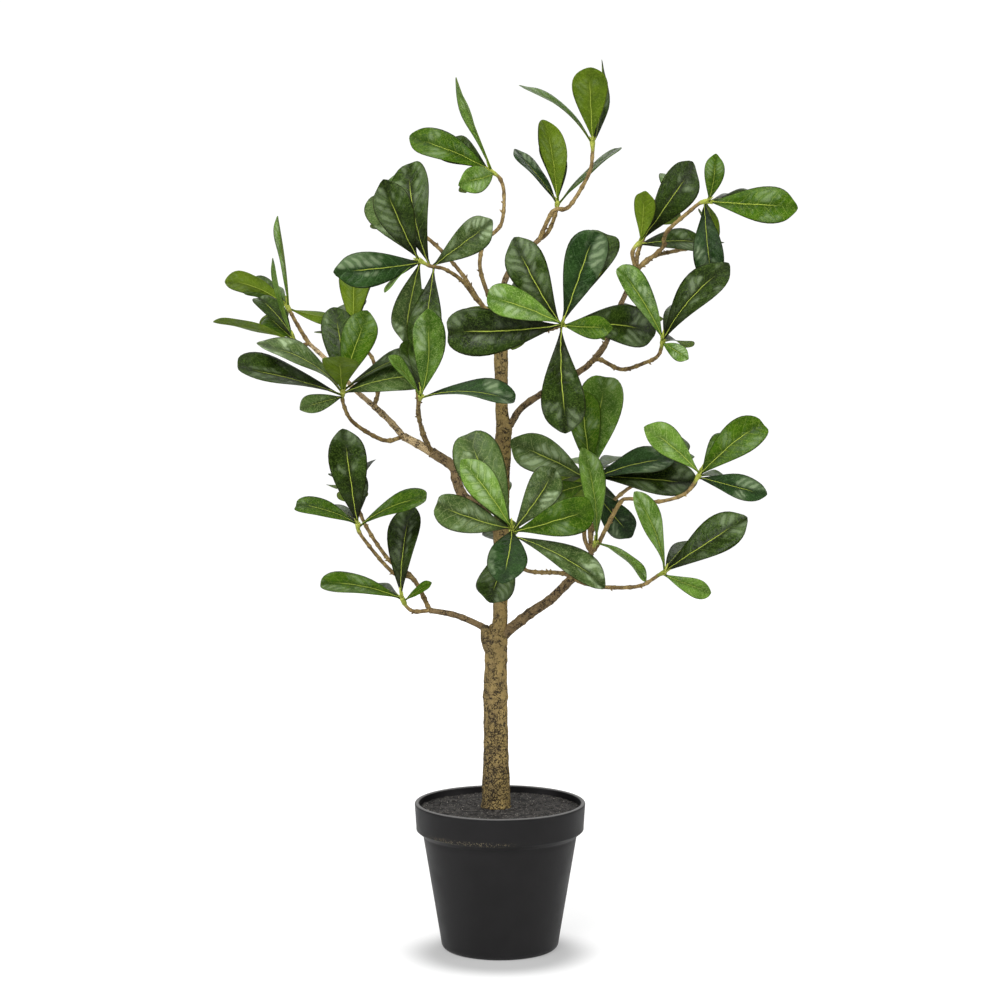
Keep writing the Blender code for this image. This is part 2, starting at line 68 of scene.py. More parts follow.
lens = bpy.data.cameras.new("camera")
lens.sensor_width = SENSOR
lens.lens = SENSOR * FOCAL_LENGTH / PICTURE_SIDE
camera = bpy.data.objects.new("camera", lens)
camera.location = (0, -CAMERA_BACK, CAMERA_HEIGHT)
camera.rotation_euler = (math.radians(90 - CAMERA_PITCH), 0, 0)
bpy.context.scene.collection.objects.link(camera)
bpy.context.scene.camera = camera
print("lens:", round(lens.lens, 1), "mm")

# %% [markdown]
# ## Shapes from arrays
# Each new surface is a grid of points: rows follow a path and columns go round it. Keeping all the
# points in one array lets numpy bend and roughen them together, and one helper turns any such grid
# into faces. Faces are wound so that they look outwards, and the two open ends get a cap each.

# %% A grid of points as faces
def grid_shape(points, **layers):
    """Quads and end caps for tubes of points (tube, row, column), with a value a point in each layer.

    Point (tube, row, column) has the number (tube * rows + row) * columns + column. A quad runs
    along the column first and then to the next row, which looks outwards on a tube.
    """
    number = np.arange(points[..., 0].size).reshape(points.shape[:3])
    ahead = np.roll(number, -1, axis=2)
    quads = np.stack((number[:, :-1], ahead[:, :-1], ahead[:, 1:], number[:, 1:]), axis=-1)
    return {
        "points": points.reshape(-1, 3),
        "quads": quads.reshape(-1, 4),
        "caps": [*number[:, 0, ::-1].tolist(), *number[:, -1].tolist()],
        "layers": {layer: values.ravel() for layer, values in layers.items()},
    }


def joined(shapes):
    """One shape from several: points and layers end to end, and face numbers moved on to match."""
    starts = np.cumsum([0, *(len(shape["points"]) for shape in shapes)]).tolist()
    placed = list(zip(shapes, starts))
    return {
        "points": np.concatenate([shape["points"] for shape in shapes]),
        "quads": np.concatenate([shape["quads"] + start for shape, start in placed]),
        "caps": [[corner + start for corner in cap] for shape, start in placed for cap in shape["caps"]],
        "layers": {
            layer: np.concatenate([shape["layers"][layer] for shape in shapes])
            for layer in shapes[0]["layers"]
        },
    }


print("a tube of 3 rings of 4 points has", len(grid_shape(np.zeros((1, 3, 4, 3)))["quads"]), "quads")

# %% A shape as a finished piece
def make_piece(name, shape, materials, nodes):
    """Puts a shape given in millimetres into a mesh with its finishes, and hides the solids that it stands
    for.
    """
    mesh = bpy.data.meshes.new(name)
    mesh.from_pydata(shape["points"] * MM, [], shape["quads"].tolist() + shape["caps"])
    for layer, values in shape["layers"].items():
        mesh.attributes.new(layer, "FLOAT", "POINT").data.foreach_set("value", values)
    if "flat" in shape:
        corners = np.empty(len(mesh.loops), np.int32)
        mesh.loops.foreach_get("vertex_index", corners)
        mesh.uv_layers.new(name="flat").uv.foreach_set("vector", shape["flat"][corners].ravel())
    if "faces_of" in shape:
        mesh.polygons.foreach_set("material_index", shape["faces_of"])
    for material in materials:
        mesh.materials.append(material)
    mesh.shade_smooth()
    piece = bpy.data.objects.new(name, mesh)
    bpy.context.scene.collection.objects.link(piece)
    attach(piece, "root")
    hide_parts(*nodes)
    triangles = sum(len(face.vertices) - 2 for face in mesh.polygons)
    print(f"{name}: {triangles} triangles, stands for {len(nodes)} solids")


# %% [markdown]
# ## Noise that repeats
# Bark, twigs and grit need irregularity that is the same at every run. Hashing the whole-number
# corners of a lattice gives each corner its own fixed number, and mixing the eight corners round a
# point gives smooth noise for any number of points at once.

# %% Value noise
WORM_BAND = 0.13  # how far from a half the noise still counts as a groove


def hashed(cells, seed):
    """A number from 0 to 1 for each whole-number cell: products with large primes, mixed by shifts."""
    primes = np.array((374761393, 668265263, 2246822519), np.uint64)
    mixed = (cells.astype(np.uint64) * primes).sum(axis=-1) + np.uint64(seed * 3266489917)
    mixed = (mixed ^ (mixed >> np.uint64(15))) * np.uint64(2654435761)
    mixed = mixed ^ (mixed >> np.uint64(13))
    return (mixed & np.uint64(0xFFFFFF)) / 0xFFFFFF


def noise(points, seed):
    """Smooth noise from 0 to 1: hashed corners of unit cells, mixed along each axis by 3t^2 - 2t^3."""
    corner = np.floor(points)
    share = points - corner
    share = share * share * (3 - 2 * share)
    total = np.zeros(points.shape[:-1])
    for step in itertools.product((0, 1), repeat=3):
        weight = np.where(step, share, 1 - share).prod(axis=-1)
        total += weight * hashed((corner + step).astype(np.int64), seed)
    return total


def worms(points, seed):
    """Thin winding grooves, 1 along their middle and 0 away from them: where noise crosses a half."""
    return np.clip(1 - np.abs(noise(points, seed) - 0.5) / WORM_BAND, 0, 1)


sample = noise(np.random.default_rng(1).uniform(-40, 40, (20000, 3)), 1)
print("noise runs from", round(sample.min(), 2), "to", round(sample.max(), 2))

# %% [markdown]
# ## Routes
# A limb is a few given corners with a smooth curve through them. The curve passes through each
# corner and leaves it in the direction from the corner before to the corner after, so it bends
# like wire. The solids were made on the same corners, and so the finer limbs land on them.

# %% Smooth routes and the frames along them
def unit(vectors):
    return vectors / np.linalg.norm(vectors, axis=-1, keepdims=True)


def smooth_route(corners, spacing):
    """Points about one spacing apart on a smooth curve through the corners.

    Between corners b and c, with a before and d after, the point at share t is
    half of 2b + (c - a) t + (2a - 5b + 4c - d) t^2 + (3b - a - 3c + d) t^3.
    """
    corners = np.asarray(corners, float)
    ends = np.vstack((2 * corners[0] - corners[1], corners, 2 * corners[-1] - corners[-2]))
    route = []
    for before, start, end, after in zip(ends, ends[1:], ends[2:], ends[3:]):
        steps = max(1, round(np.linalg.norm((end - start)[:3]) / spacing))
        share = (np.arange(steps) / steps)[:, None]
        curve = 2 * start + (end - before) * share
        curve = curve + (2 * before - 5 * start + 4 * end - after) * share**2
        curve = curve + (3 * start - before - 3 * end + after) * share**3
        route.append(0.5 * curve)
    return np.vstack((*route, corners[-1]))


def frames_along(route):
    """The way on at each station and two directions square to it, carried along without a twist."""
    way = unit(np.gradient(route, axis=0))
    side = np.empty_like(way)
    carried = np.cross(FRONT, way[0]) + 0.01 * UP  # not zero, even where the route sets out to the front
    for station, ahead in enumerate(way):
        carried = unit(carried - ahead * carried.dot(ahead))
        side[station] = carried
    return way, side, np.cross(way, side)


def distance_along(route):
    """How far each station lies along the route, in millimetres."""
    return np.concatenate(([0], np.cumsum(np.linalg.norm(np.diff(route, axis=0), axis=1))))


def around(side, other, columns):
    """Directions round each pair of square ones: cos a side + sin a other."""
    turn = np.linspace(0, 2 * np.pi, columns, endpoint=False)
    return side[:, None] * np.cos(turn)[:, None] + other[:, None] * np.sin(turn)[:, None]


def roughened(route, radii, columns, relief):
    """A tube's points, station + radius times direction, and what the relief says of each.

    The relief is a function that gets the smooth tube's points and radii. It gives the rough radii
    and a value for each point.
    """
    _, side, other = frames_along(route)
    outward = around(side, other, columns)
    radii = np.reshape(radii, (-1, 1))
    rough, value = relief(route[:, None] + outward * radii[..., None], radii)
    return (route[:, None] + outward * rough[..., None])[None], value


bend = smooth_route(((0, 0, 0), (10, 0, 10), (10, 0, 30)), 1.0)
print("a bend of 3 corners has", len(bend), "stations over", round(distance_along(bend)[-1], 1), "mm")

# %% [markdown]
# ## What the plant is made from
# These tables are the plant's own measures, in millimetres and degrees, the same as those that its
# solids were made from: the trunk's stations, the boughs that leave it, and the sprays at their
# ends. A spray is a thin stem with one or two whorls of leaves. For a leaf, the clock angle is its
# direction as seen from the front, and the lean is how far it points towards the front.

# %% Measures of the trunk and the boughs
TRUNK = (  # height, sideways place, radius
    (145, -4, 15.4),
    (151, -4, 14.4),
    (178, -4, 13.6),
    (205, -4, 12.6),
    (250, -4.5, 12.2),
    (257, -4.5, 12.8),
    (264, -4.5, 12.0),
    (300, -4, 11.2),
    (312, -4.5, 12.4),
    (324, -2.5, 10.2),
    (336, 0, 7.6),
    (400, 1, 7.0),
    (422, 1, 8.2),
    (450, 2, 7.0),
    (512, 3, 8.2),
    (528, 4, 8.4),
    (545, 2, 6.4),
    (600, 1, 7.0),
    (628, 1, 6.4),
    (640, 0, 5.6),
)
BOUGHS = {  # parent, foot (or the parent's end), radius at foot and tip, corners after the foot
    "bough_lower_left": (
        "trunk", (-4, 0, 322), 3.4, 2.8,
        ((-14, -1, 327), (-43, -8, 341), (-70, -12, 347)),
    ),
    "bough_lower_right_low": (
        "trunk", (0, 0, 318), 5.6, 4.4,
        ((27, -8, 341), (51, -15, 359), (72, -22, 381)),
    ),
    "bough_lower_right_high": (
        "bough_lower_right_low", None, 3.4, 2.8,
        ((82, -22, 394), (91, -20, 406)),
    ),
    "bough_left_low": (
        "trunk", (2, 0, 420), 4.6, 5.2,
        ((-20, -5, 449), (-36, -8, 461), (-43, -10, 476), (-47, -9, 491), (-68, -5, 505)),
    ),
    "bough_left_mid": (
        "bough_left_low", None, 4.6, 4.0,
        ((-82, -3, 513), (-96, 0, 520)),
    ),
    "bough_left_high": (
        "bough_left_mid", None, 3.2, 3.0,
        ((-111, 8, 536), (-126, 15, 549)),
    ),
    "bough_left_tip": (
        "bough_left_high", None, 2.6, 2.2,
        ((-145, 30, 564), (-170, 52, 588), (-194, 74, 608)),
    ),
    "bough_right_low": (
        "trunk", (3, 0, 520), 3.6, 3.0,
        ((12, -2, 535), (27, -8, 554), (79, -20, 587), (89, -22, 595)),
    ),
    "bough_right_high": (
        "bough_right_low", None, 2.6, 2.4,
        ((103, -20, 611), (117, -12, 647), (135, -5, 686)),
    ),
    "bough_top": (
        "trunk", (0, 0, 638), 3.2, 2.4,
        ((3, 3, 658), (5, 6, 675), (16, 13, 694), (39, 22, 715)),
    ),
}
bough_ends = {name: corners[-1] for name, (*_, corners) in BOUGHS.items()}
print("boughs:", len(BOUGHS), "trunk:", TRUNK[-1][0] - TRUNK[0][0], "mm")

# %% Measures of the sprays
# Each row: parent, foot (or the parent's end), a tone for each leaf, the stem's corners, the whorl
# of leaves at the stem's end and, where there is one, a lower whorl with its distance back. A leaf
# is clock, lean and length, then where it needs them the roll about its midrib and its bow as a
# share of its length. Tones: d deep, b bluish, g greyish, f fresh, y young.
SPRAYS = {
    "spray_crown_right": (
        "bough_top", None, "ffdd",
        ((50, 22, 739), (56, 23, 745), (69, 24, 748), (88, 27, 779), (92, 29, 799), (92, 30, 812)),
        ((356, 28, 81, 180), (308, 0, 88, 80, 0.1), (7, -20, 86, 70), (357, -42, 74, 30)),
    ),
    "spray_crown_middle": (
        "bough_top", None, "fbfd",
        ((48, 32, 722), (55, 44, 738), (58, 58, 751)),
        ((351, 12, 84, 142, 0.01), (321, -25, 74, 64), (48, -20, 93, -81, 0.03), (352, -42, 78, 38)),
    ),
    "spray_crown_left": (
        "trunk", (0, 0, 636), "fyydd",
        (
            (-13, 5, 664), (-20, 12, 690), (-15, 20, 713), (1, 27, 730), (4, 35, 759), (0, 38, 775),
            (-10, 40, 783),
        ),
        ((292, -10, 87, 36), (339, 5, 97, -76, 0.0), (256, 60, 68, 0), (296, -46, 78, 25), (230, -60, 66)),
    ),
    "spray_upper_left": (
        "trunk", (0, 0, 634), "dgbygdgd",
        ((-22, -15, 656), (-36, -40, 676), (-53, -60, 689), (-68, -70, 693), (-79, -72, 699)),
        ((337, 20, 86, 0), (322, -25, 84, 12), (264, 15, 84, 0), (226, 15, 46, 72), (191, -15, 82, 20)),
        (13, ((348, -15, 106, -30), (54, -25, 76, 18), (190, 10, 80, 12))),
    ),
    "spray_far_left_high": (
        "bough_left_tip", None, "fyydfd",
        ((-204, 86, 622), (-218, 108, 644)),
        (
            (291, -20, 74, 140), (354, 0, 90, -78, -0.02), (104, -30, 52, 118), (294, -42, 66, 30),
            (300, -58, 74), (228, -62, 70),
        ),
    ),
    "spray_far_left": (
        "bough_left_tip", None, "ydff",
        ((-202, 62, 606), (-208, 48, 613)),
        ((346, 0, 82, -74, 0.03), (317, -30, 68, 48), (283, 0, 83, 112), (306, -56, 62)),
    ),
    "spray_left": (
        "bough_left_mid", None, "dffdgdgg",
        ((-116, -5, 517), (-145, -20, 536), (-154, -38, 556), (-154, -50, 570)),
        ((354, -15, 83, 0), (18, 5, 82, -10), (1, 60, 80, 180), (64, -10, 94, -72)),
        (4, ((301, 10, 94, 68, 0.12), (286, 15, 112, 66), (257, 35, 50, 35), (78, 0, 87, -45))),
    ),
    "spray_left_back": (
        "bough_left_high", None, "ydddddf",
        ((-123, 40, 563), (-129, 75, 591), (-141, 95, 603), (-151, 110, 614)),
        (
            (3, 15, 78, 180), (8, -40, 86), (14, -52, 80), (194, -50, 78), (204, -66, 76), (270, -62, 76),
            (350, -70, 84),
        ),
    ),
    "spray_left_front": (
        "bough_left_low", None, "yybdd",
        ((-75, -35, 526), (-80, -75, 551), (-76, -110, 570)),
        ((4, 10, 82, 25), (323, 10, 50, 62), (92, 10, 94, -66, 0.08), (350, -50, 78), (8, -50, 78)),
    ),
    "spray_centre": (
        "trunk", (1, 0, 622), "ybfddddd",
        ((29, -50, 629), (48, -95, 633), (60, -130, 640)),
        ((291, 20, 84, 25), (19, 0, 96, 0), (91, 25, 51, 0), (267, 0, 114, 0)),
        (5, ((331, -5, 91, 0), (27, -20, 106, -25), (95, -25, 99, -25), (177, 5, 100, 0))),
    ),
    "spray_far_right": (
        "bough_right_high", None, "ffbddd",
        (
            (160, -14, 708), (161, -19, 716), (165, -25, 726), (181, -35, 741), (195, -45, 753),
            (203, -50, 755),
        ),
        (
            (7, 20, 47, 0), (93, 0, 85, -10), (175, 15, 76, 34), (99, -50, 78, -80), (95, -44, 86),
            (170, -62, 70),
        ),
    ),
    "spray_upper_right": (
        "bough_right_high", None, "yddd",
        ((131, -3, 700), (133, -3, 708), (139, 0, 713)),
        ((3, 25, 54, 150), (36, -18, 97, 15), (89, -25, 76, -50)),
    ),
    "spray_right": (
        "bough_right_low", None, "ydydd",
        ((98, -28, 599), (119, -50, 591), (141, -70, 599), (153, -85, 607), (157, -100, 623)),
        ((328, 10, 86, 48), (41, -5, 95, -44), (120, 45, 37, 0), (45, -52, 82, -62), (112, -68, 66)),
    ),
    "spray_right_middle": (
        "bough_lower_right_high", None, "yfbff",
        (
            (97, -26, 415), (105, -32, 432), (118, -36, 457), (127, -37, 462), (153, -39, 459),
            (182, -40, 467), (197, -42, 487),
        ),
        ((311, 15, 74, 28), (50, 0, 84, -18), (105, 0, 69, -40), (57, -49, 82), (110, -52, 72)),
    ),
    "spray_middle_right": (
        "bough_lower_right_high", None, "fygdbfb",
        # painted light: the second, fifth and sixth leaves lie in shade and have lighter tones than their own
        # colour to make up for it
        ((84, -15, 421), (86, -8, 447), (90, 10, 479)),
        ((353, 10, 89, 24), (9, -10, 106, -10), (298, 22, 93, 0), (94, 0, 106, -45)),
        (5, ((76, -5, 88, -50), (248, -40, 74, 0), (142, -25, 76, 0))),
    ),
    "spray_right_young": (
        "bough_lower_right_high", None, "yy",
        ((95, -38, 420),),
        ((352, 10, 93, 52), (127, 10, 62, -76, 0.1)),
    ),
    "spray_lower_right": (
        "bough_lower_right_low", None, "ydyd",
        ((82, -26, 377), (103, -30, 373), (137, -45, 376), (157, -55, 389), (162, -60, 392)),
        ((339, 10, 86, 60), (56, 0, 95, -32), (109, 15, 52, 25), (57, -56, 76, -82)),
    ),
    "spray_front": (
        "bough_lower_right_low", None, "ybfggdgg",
        ((60, -45, 389), (25, -88, 398), (13, -115, 421), (11, -130, 444)),
        ((325, 15, 83, 26), (193, 64, 90, 0), (72, 15, 86, 0), (290, 15, 82, 0)),
        (5, ((336, -10, 107, 10), (197, -30, 83, 0), (117, 10, 100, -54, 0.08), (37, -35, 84, 0))),
    ),
    "spray_lower_left_high": (
        "bough_lower_left", None, "dffdd",
        ((-86, -8, 377), (-108, -5, 385), (-137, -25, 423), (-141, -30, 437)),
        (
            (352, 0, 92, 0), (288, 0, 67, 58), (65, 15, 80, -62, 0.08), (350, -50, 76, 30),
            (292, -50, 60, 80),
        ),
    ),
    "spray_lower_left": (
        "bough_lower_left", None, "dffd",
        ((-84, -14, 346), (-92, -17, 350), (-98, -20, 361)),
        ((6, -15, 91, -38), (282, 5, 85, 58), (56, 5, 33, -50), (276, -54, 68, 84)),
    ),
    "spray_back_centre": (
        "trunk", (1, 0, 608), "dgdfddy",
        ((4, 40, 618), (8, 90, 632), (10, 130, 640)),
        (
            (30, -52, 88), (80, -60, 82), (128, -66, 80), (178, -56, 82), (214, -44, 86), (244, -46, 86),
            (305, -72, 74),
        ),
    ),
    "spray_back_low": (
        "trunk", (1, 0, 405), "dfddbgd",
        ((0, 40, 412), (-3, 90, 420), (-4, 130, 429)),
        (
            (0, -42, 88), (358, -72, 80), (165, -60, 80), (170, -60, 80, 30), (240, -55, 84),
            (266, -60, 80), (330, -42, 90),
        ),
    ),
    "spray_back_middle_right": (
        "bough_lower_right_high", None, "dfgddby",
        ((90, 10, 428), (92, 50, 452), (96, 90, 477)),
        (
            (0, -42, 88), (78, -62, 76, -85), (92, -62, 84), (158, -45, 84, 25), (212, -42, 88),
            (245, -44, 86), (270, -62, 72, 85),
        ),
    ),
    "spray_back_upper_left": (
        "trunk", (0, 0, 628), "fdgdbf",
        ((-22, 22, 656), (-40, 45, 682), (-70, 70, 712), (-104, 92, 734)),
        ((2, -56, 82), (25, -62, 80), (110, -76, 78), (180, -76, 78), (238, -74, 80), (305, -70, 82)),
    ),
    "spray_back_left": (
        "bough_left_low", None, "dydfgd",
        ((-79, 30, 524), (-84, 80, 562), (-83, 130, 589)),
        ((0, -42, 88), (12, -62, 80), (172, -74, 76), (240, -66, 82, 85), (258, -72, 80), (342, -60, 84)),
    ),
    "spray_back_right": (
        "bough_right_low", None, "dfdgb",
        ((100, 10, 606), (113, 50, 620), (124, 90, 635)),
        ((86, -72, 80, -88), (110, -64, 84), (158, -66, 82), (205, -66, 82), (248, -62, 82, 85)),
    ),
    "spray_back_crown_right": (
        "bough_right_high", None, "fdfdg",
        ((138, 22, 704), (152, 55, 730), (170, 90, 750)),
        ((22, -70, 78), (62, -70, 80), (100, -76, 76), (186, -72, 76), (225, -76, 72)),
    ),
    "spray_back_far_right": (
        "bough_right_high", None, "fdd",
        ((150, 22, 697), (180, 56, 703), (212, 90, 706)),
        ((355, -70, 76), (60, -84, 72), (168, -62, 80)),
    ),
    "spray_back_lower_left": (
        "bough_lower_left", None, "dfdgd",
        ((-88, 10, 377), (-112, 30, 392), (-138, 60, 426), (-151, 90, 458)),
        ((186, -72, 74), (250, -75, 74), (298, -75, 78), (342, -66, 82), (28, -73, 78)),
    ),
    "spray_back_lower_right": (
        "bough_lower_right_high", None, "dfbgd",
        ((92, 30, 415), (100, 70, 430), (130, 102, 455), (170, 130, 473)),
        ((25, -65, 84), (60, -70, 80), (118, -68, 82), (170, -66, 82), (225, -68, 80)),
    ),
}
print("sprays:", len(SPRAYS))

# %% [markdown]
# ## Ways to wire a material
# A material is a small network: patterns feed colours, and those feed one shader. Writing each node
# as one call with its inputs named keeps such a network readable. Effects that several finishes
# share are groups, so that a speckle or a grain is tuned in one place and used in many.

# %% Helpers for nodes
def place(tree, kind, inputs=None, **options):
    """Adds a node, sets its options, and links or sets each named input."""
    node = tree.nodes.new(kind)
    for option, value in options.items():
        setattr(node, option, value)
    for name, value in (inputs or {}).items():
        if isinstance(value, bpy.types.NodeSocket):
            tree.links.new(value, node.inputs[name])
        else:
            node.inputs[name].default_value = value
    return node


def reckon(tree, operation, first, second=0.0, third=0.0):
    """One step of arithmetic on values."""
    return place(tree, "ShaderNodeMath", {0: first, 1: second, 2: third}, operation=operation).outputs[0]


def times(tree, first, *others):
    """The product of two or more values."""
    for other in others:
        first = reckon(tree, "MULTIPLY", first, other)
    return first


def times_plus(tree, first, second, third):
    """The product of the first two values, plus the third."""
    return reckon(tree, "MULTIPLY_ADD", first, second, third)


def fade(tree, value, start, end, low=0.0, high=1.0):
    """A value that turns smoothly from low at start to high at end."""
    inputs = {"Value": value, "From Min": start, "From Max": end, "To Min": low, "To Max": high}
    return place(tree, "ShaderNodeMapRange", inputs, interpolation_type="SMOOTHSTEP").outputs[0]


def mix(tree, share, first, second):
    """A colour between two others, which are the node's sixth and seventh inputs."""
    return place(tree, "ShaderNodeMix", {0: share, 6: first, 7: second}, data_type="RGBA").outputs[2]


def colour(code):
    """A web colour as the linear values that shaders take."""
    parts = [int(code[start : start + 2], 16) / 255 for start in (1, 3, 5)]
    return (*(part / 12.92 if part <= 0.04045 else ((part + 0.055) / 1.055) ** 2.4 for part in parts), 1.0)


def from_mesh(tree, layer):
    """A value that the mesh carries at each point."""
    return place(tree, "ShaderNodeAttribute", attribute_name=layer).outputs["Fac"]


def split(tree, vector):
    """The X, Y and Z of a vector."""
    return place(tree, "ShaderNodeSeparateXYZ", {0: vector}).outputs


print("a mid green is", [round(part, 3) for part in colour("#3f7a25")])

# %% Helpers for groups and materials
def new_group(name, inputs, outputs):
    """An empty node group, its sockets in, from (kind, name, start value), and out, from names."""
    group = bpy.data.node_groups.new(name, "ShaderNodeTree")
    for kind, label, value in inputs:
        socket = group.interface.new_socket(label, in_out="INPUT", socket_type="NodeSocket" + kind)
        if value is not None:
            socket.default_value = value
    for label in outputs:
        group.interface.new_socket(label, in_out="OUTPUT", socket_type="NodeSocketFloat")
    return group, group.nodes.new("NodeGroupInput").outputs, group.nodes.new("NodeGroupOutput").inputs


def use_group(tree, group, inputs):
    return place(tree, "ShaderNodeGroup", inputs, node_tree=group).outputs


def new_material(name, **constants):
    """A material, its nodes, its shader's sockets with the unchanging values set, and each point's place."""
    made = bpy.data.materials.new(name)
    made.use_nodes = True
    shader = made.node_tree.nodes["Principled BSDF"]
    for socket, value in constants.items():
        shader.inputs[socket.replace("_", " ")].default_value = value
    spot = place(made.node_tree, "ShaderNodeTexCoord").outputs["Object"]
    return made, made.node_tree, shader.inputs, spot


def raise_bumps(tree, shader, height, strength, depth):
    """Tilts the shader's normal by a height, one unit of which stands for a depth in millimetres."""
    bump = place(tree, "ShaderNodeBump", {"Height": height, "Strength": strength, "Distance": depth * MM})
    tree.links.new(bump.outputs["Normal"], shader["Normal"])


# %% [markdown]
# ## Shared effects
# Three patterns turn up all over this plant. Speckle is fine random dots, for soot in the bark, dust
# on the pot and flecks in the print of the leaves. Mottle is broad, soft cloudiness. Crackle is short
# winding lines, for the bark's finest grooves and for the net between a leaf's veins. All three are
# noise on the piece's own coordinates, and each finish decides what colour or bump it makes of them.

# %% Speckle, mottle and crackle groups
def noise_in(group, given, spread, detail):
    """Noise with features of about the group's size in millimetres, divided by the spread."""
    scale = reckon(group, "DIVIDE", spread / MM, given["Size mm"])
    inputs = {"Vector": given["Place"], "Scale": scale, "Detail": detail}
    return place(group, "ShaderNodeTexNoise", inputs).outputs[0]


def speckle_group():
    """Dots: 1 where fine noise on the piece's own coordinates is above the threshold."""
    inputs = (("Vector", "Place", None), ("Float", "Size mm", 1.0), ("Float", "Threshold", 0.6))
    inputs += (("Float", "Softness", 0.06),)
    group, given, out = new_group("speckle", inputs, ("Dots", "Grain"))
    grain = noise_in(group, given, 1.0, 2.0)
    top = reckon(group, "ADD", given["Threshold"], given["Softness"])
    group.links.new(fade(group, grain, given["Threshold"], top), out["Dots"])
    group.links.new(grain, out["Grain"])
    return group


def mottle_group():
    """Soft clouds from 0 to 1, stretched apart so that both ends are reached."""
    inputs = (("Vector", "Place", None), ("Float", "Size mm", 12.0))
    group, given, out = new_group("mottle", inputs, ("Clouds",))
    group.links.new(fade(group, noise_in(group, given, 1.0, 3.0), 0.32, 0.68), out["Clouds"])
    return group


def crackle_group():
    """Short winding lines: 1 where fine noise crosses a half, kept only where broader noise is high."""
    inputs = (("Vector", "Place", None), ("Float", "Size mm", 2.0), ("Float", "Width", 0.03))
    inputs += (("Float", "Cover", 0.5),)
    group, given, out = new_group("crackle", inputs, ("Lines",))
    off = reckon(group, "ABSOLUTE", reckon(group, "SUBTRACT", noise_in(group, given, 1.0, 1.0), 0.5))
    line = fade(group, off, times(group, given["Width"], 0.4), given["Width"], 1.0, 0.0)
    low = reckon(group, "SUBTRACT", 1.0, given["Cover"])
    ends = reckon(group, "SUBTRACT", low, 0.06), reckon(group, "ADD", low, 0.06)
    kept = fade(group, noise_in(group, given, 0.45, 1.0), *ends)
    group.links.new(times(group, line, kept), out["Lines"])
    return group


speckle, mottle, crackle = speckle_group(), mottle_group(), crackle_group()
print("groups:", [group.name for group in bpy.data.node_groups])

# %% The three patterns in a material
def specks(tree, spot, size, threshold=0.6, softness=0.06):
    """Dots of a size in millimetres, and the grain that they are cut from."""
    inputs = {"Place": spot, "Size mm": size, "Threshold": threshold, "Softness": softness}
    return use_group(tree, speckle, inputs)


def cloudy(tree, spot, size):
    """Clouds of a size in millimetres."""
    return use_group(tree, mottle, {"Place": spot, "Size mm": size})["Clouds"]


def cracks(tree, spot, size, width, cover):
    """Lines of a size in millimetres over a share of the surface."""
    return use_group(tree, crackle, {"Place": spot, "Size mm": size, "Width": width, "Cover": cover})["Lines"]


# %% [markdown]
# ## Bark
# The trunk's coat is moulded plastic: khaki brown, crossed by short winding grooves with soot in
# them, and ringed by a collar wherever a bough leaves it. A bump map would leave the outline
# smooth, so the relief is real: a dense tube whose radius carries the grooves. Each point also
# keeps how deep it lies, and the finish paints the deep places nearly black. Only the finest lines
# and dots of soot are paint and bump alone.

# %% Bark surface
GROOVE_ACROSS = 2.5
GROOVE_ALONG = 2.9
GROOVE_DEPTH = 0.7
GROOVE_WANDER = 1.6
WANDER_SIZE = 6.0
FINER_GROOVES = 1.6  # how many times finer the second set is
FINER_SHARE = 0.8
FINER_SHIFT = 31.7
PATCH_SIZE = 5.0
PATCH_START = 0.3
PATCH_GAIN = 3.5
LEAST_GROOVED = 0.1
LUMP_SIZE = 7.0
LUMP_HEIGHT = 1.0
GRAIN_SIZE = 1.1
GRAIN_HEIGHT = 0.3
FULL_RELIEF_RADIUS = 9.0
LEAST_RELIEF = 0.35


def bark_relief(seed):
    """A relief for one limb, as a function of a smooth tube's points and radii.

    It gives radii roughened by broad lumps, worm grooves and grain, and how sunken each point is.
    Relief = lumps - grooves (two sets of worms, stretched along the limb, in patches) + grain, all
    smaller on a thin limb.
    """

    def relief(points, radii):
        stretched = points / np.array((GROOVE_ACROSS, GROOVE_ACROSS, GROOVE_ALONG))
        wander = noise(points / WANDER_SIZE, seed + 5)[..., None] * GROOVE_WANDER
        finer = FINER_SHARE * worms(stretched * FINER_GROOVES + FINER_SHIFT, seed + 1)
        patches = (noise(points / PATCH_SIZE, seed + 2) - PATCH_START) * PATCH_GAIN
        patches = np.clip(patches, LEAST_GROOVED, 1)
        sunk = np.maximum(worms(stretched + wander, seed), finer) * patches
        lumps = noise(points / LUMP_SIZE, seed + 3) - 0.5
        grain = noise(points / GRAIN_SIZE, seed + 4) - 0.5
        scale = np.clip(radii / FULL_RELIEF_RADIUS, LEAST_RELIEF, 1.0)
        return radii + scale * (LUMP_HEIGHT * lumps - GROOVE_DEPTH * sunk + GRAIN_HEIGHT * grain), sunk

    return relief


def bark_shape(route, radii, columns, seed):
    """A tube with the bark's relief."""
    points, sunk = roughened(route, radii, columns, bark_relief(seed))
    return grid_shape(points, sunk=sunk)


print("grooves:", GROOVE_DEPTH, "mm deep, lumps:", LUMP_HEIGHT, "mm high")

# %% Bark finish
TRUNK_PAINTED_SUNNY_SIDE = (-0.012, 0.009)  # metres across, from its painted shaded grey side to its painted lit golden one
WORN_FOOT = (0.15, 0.3)  # metres up, from where lines of soot crowd to where they thin out


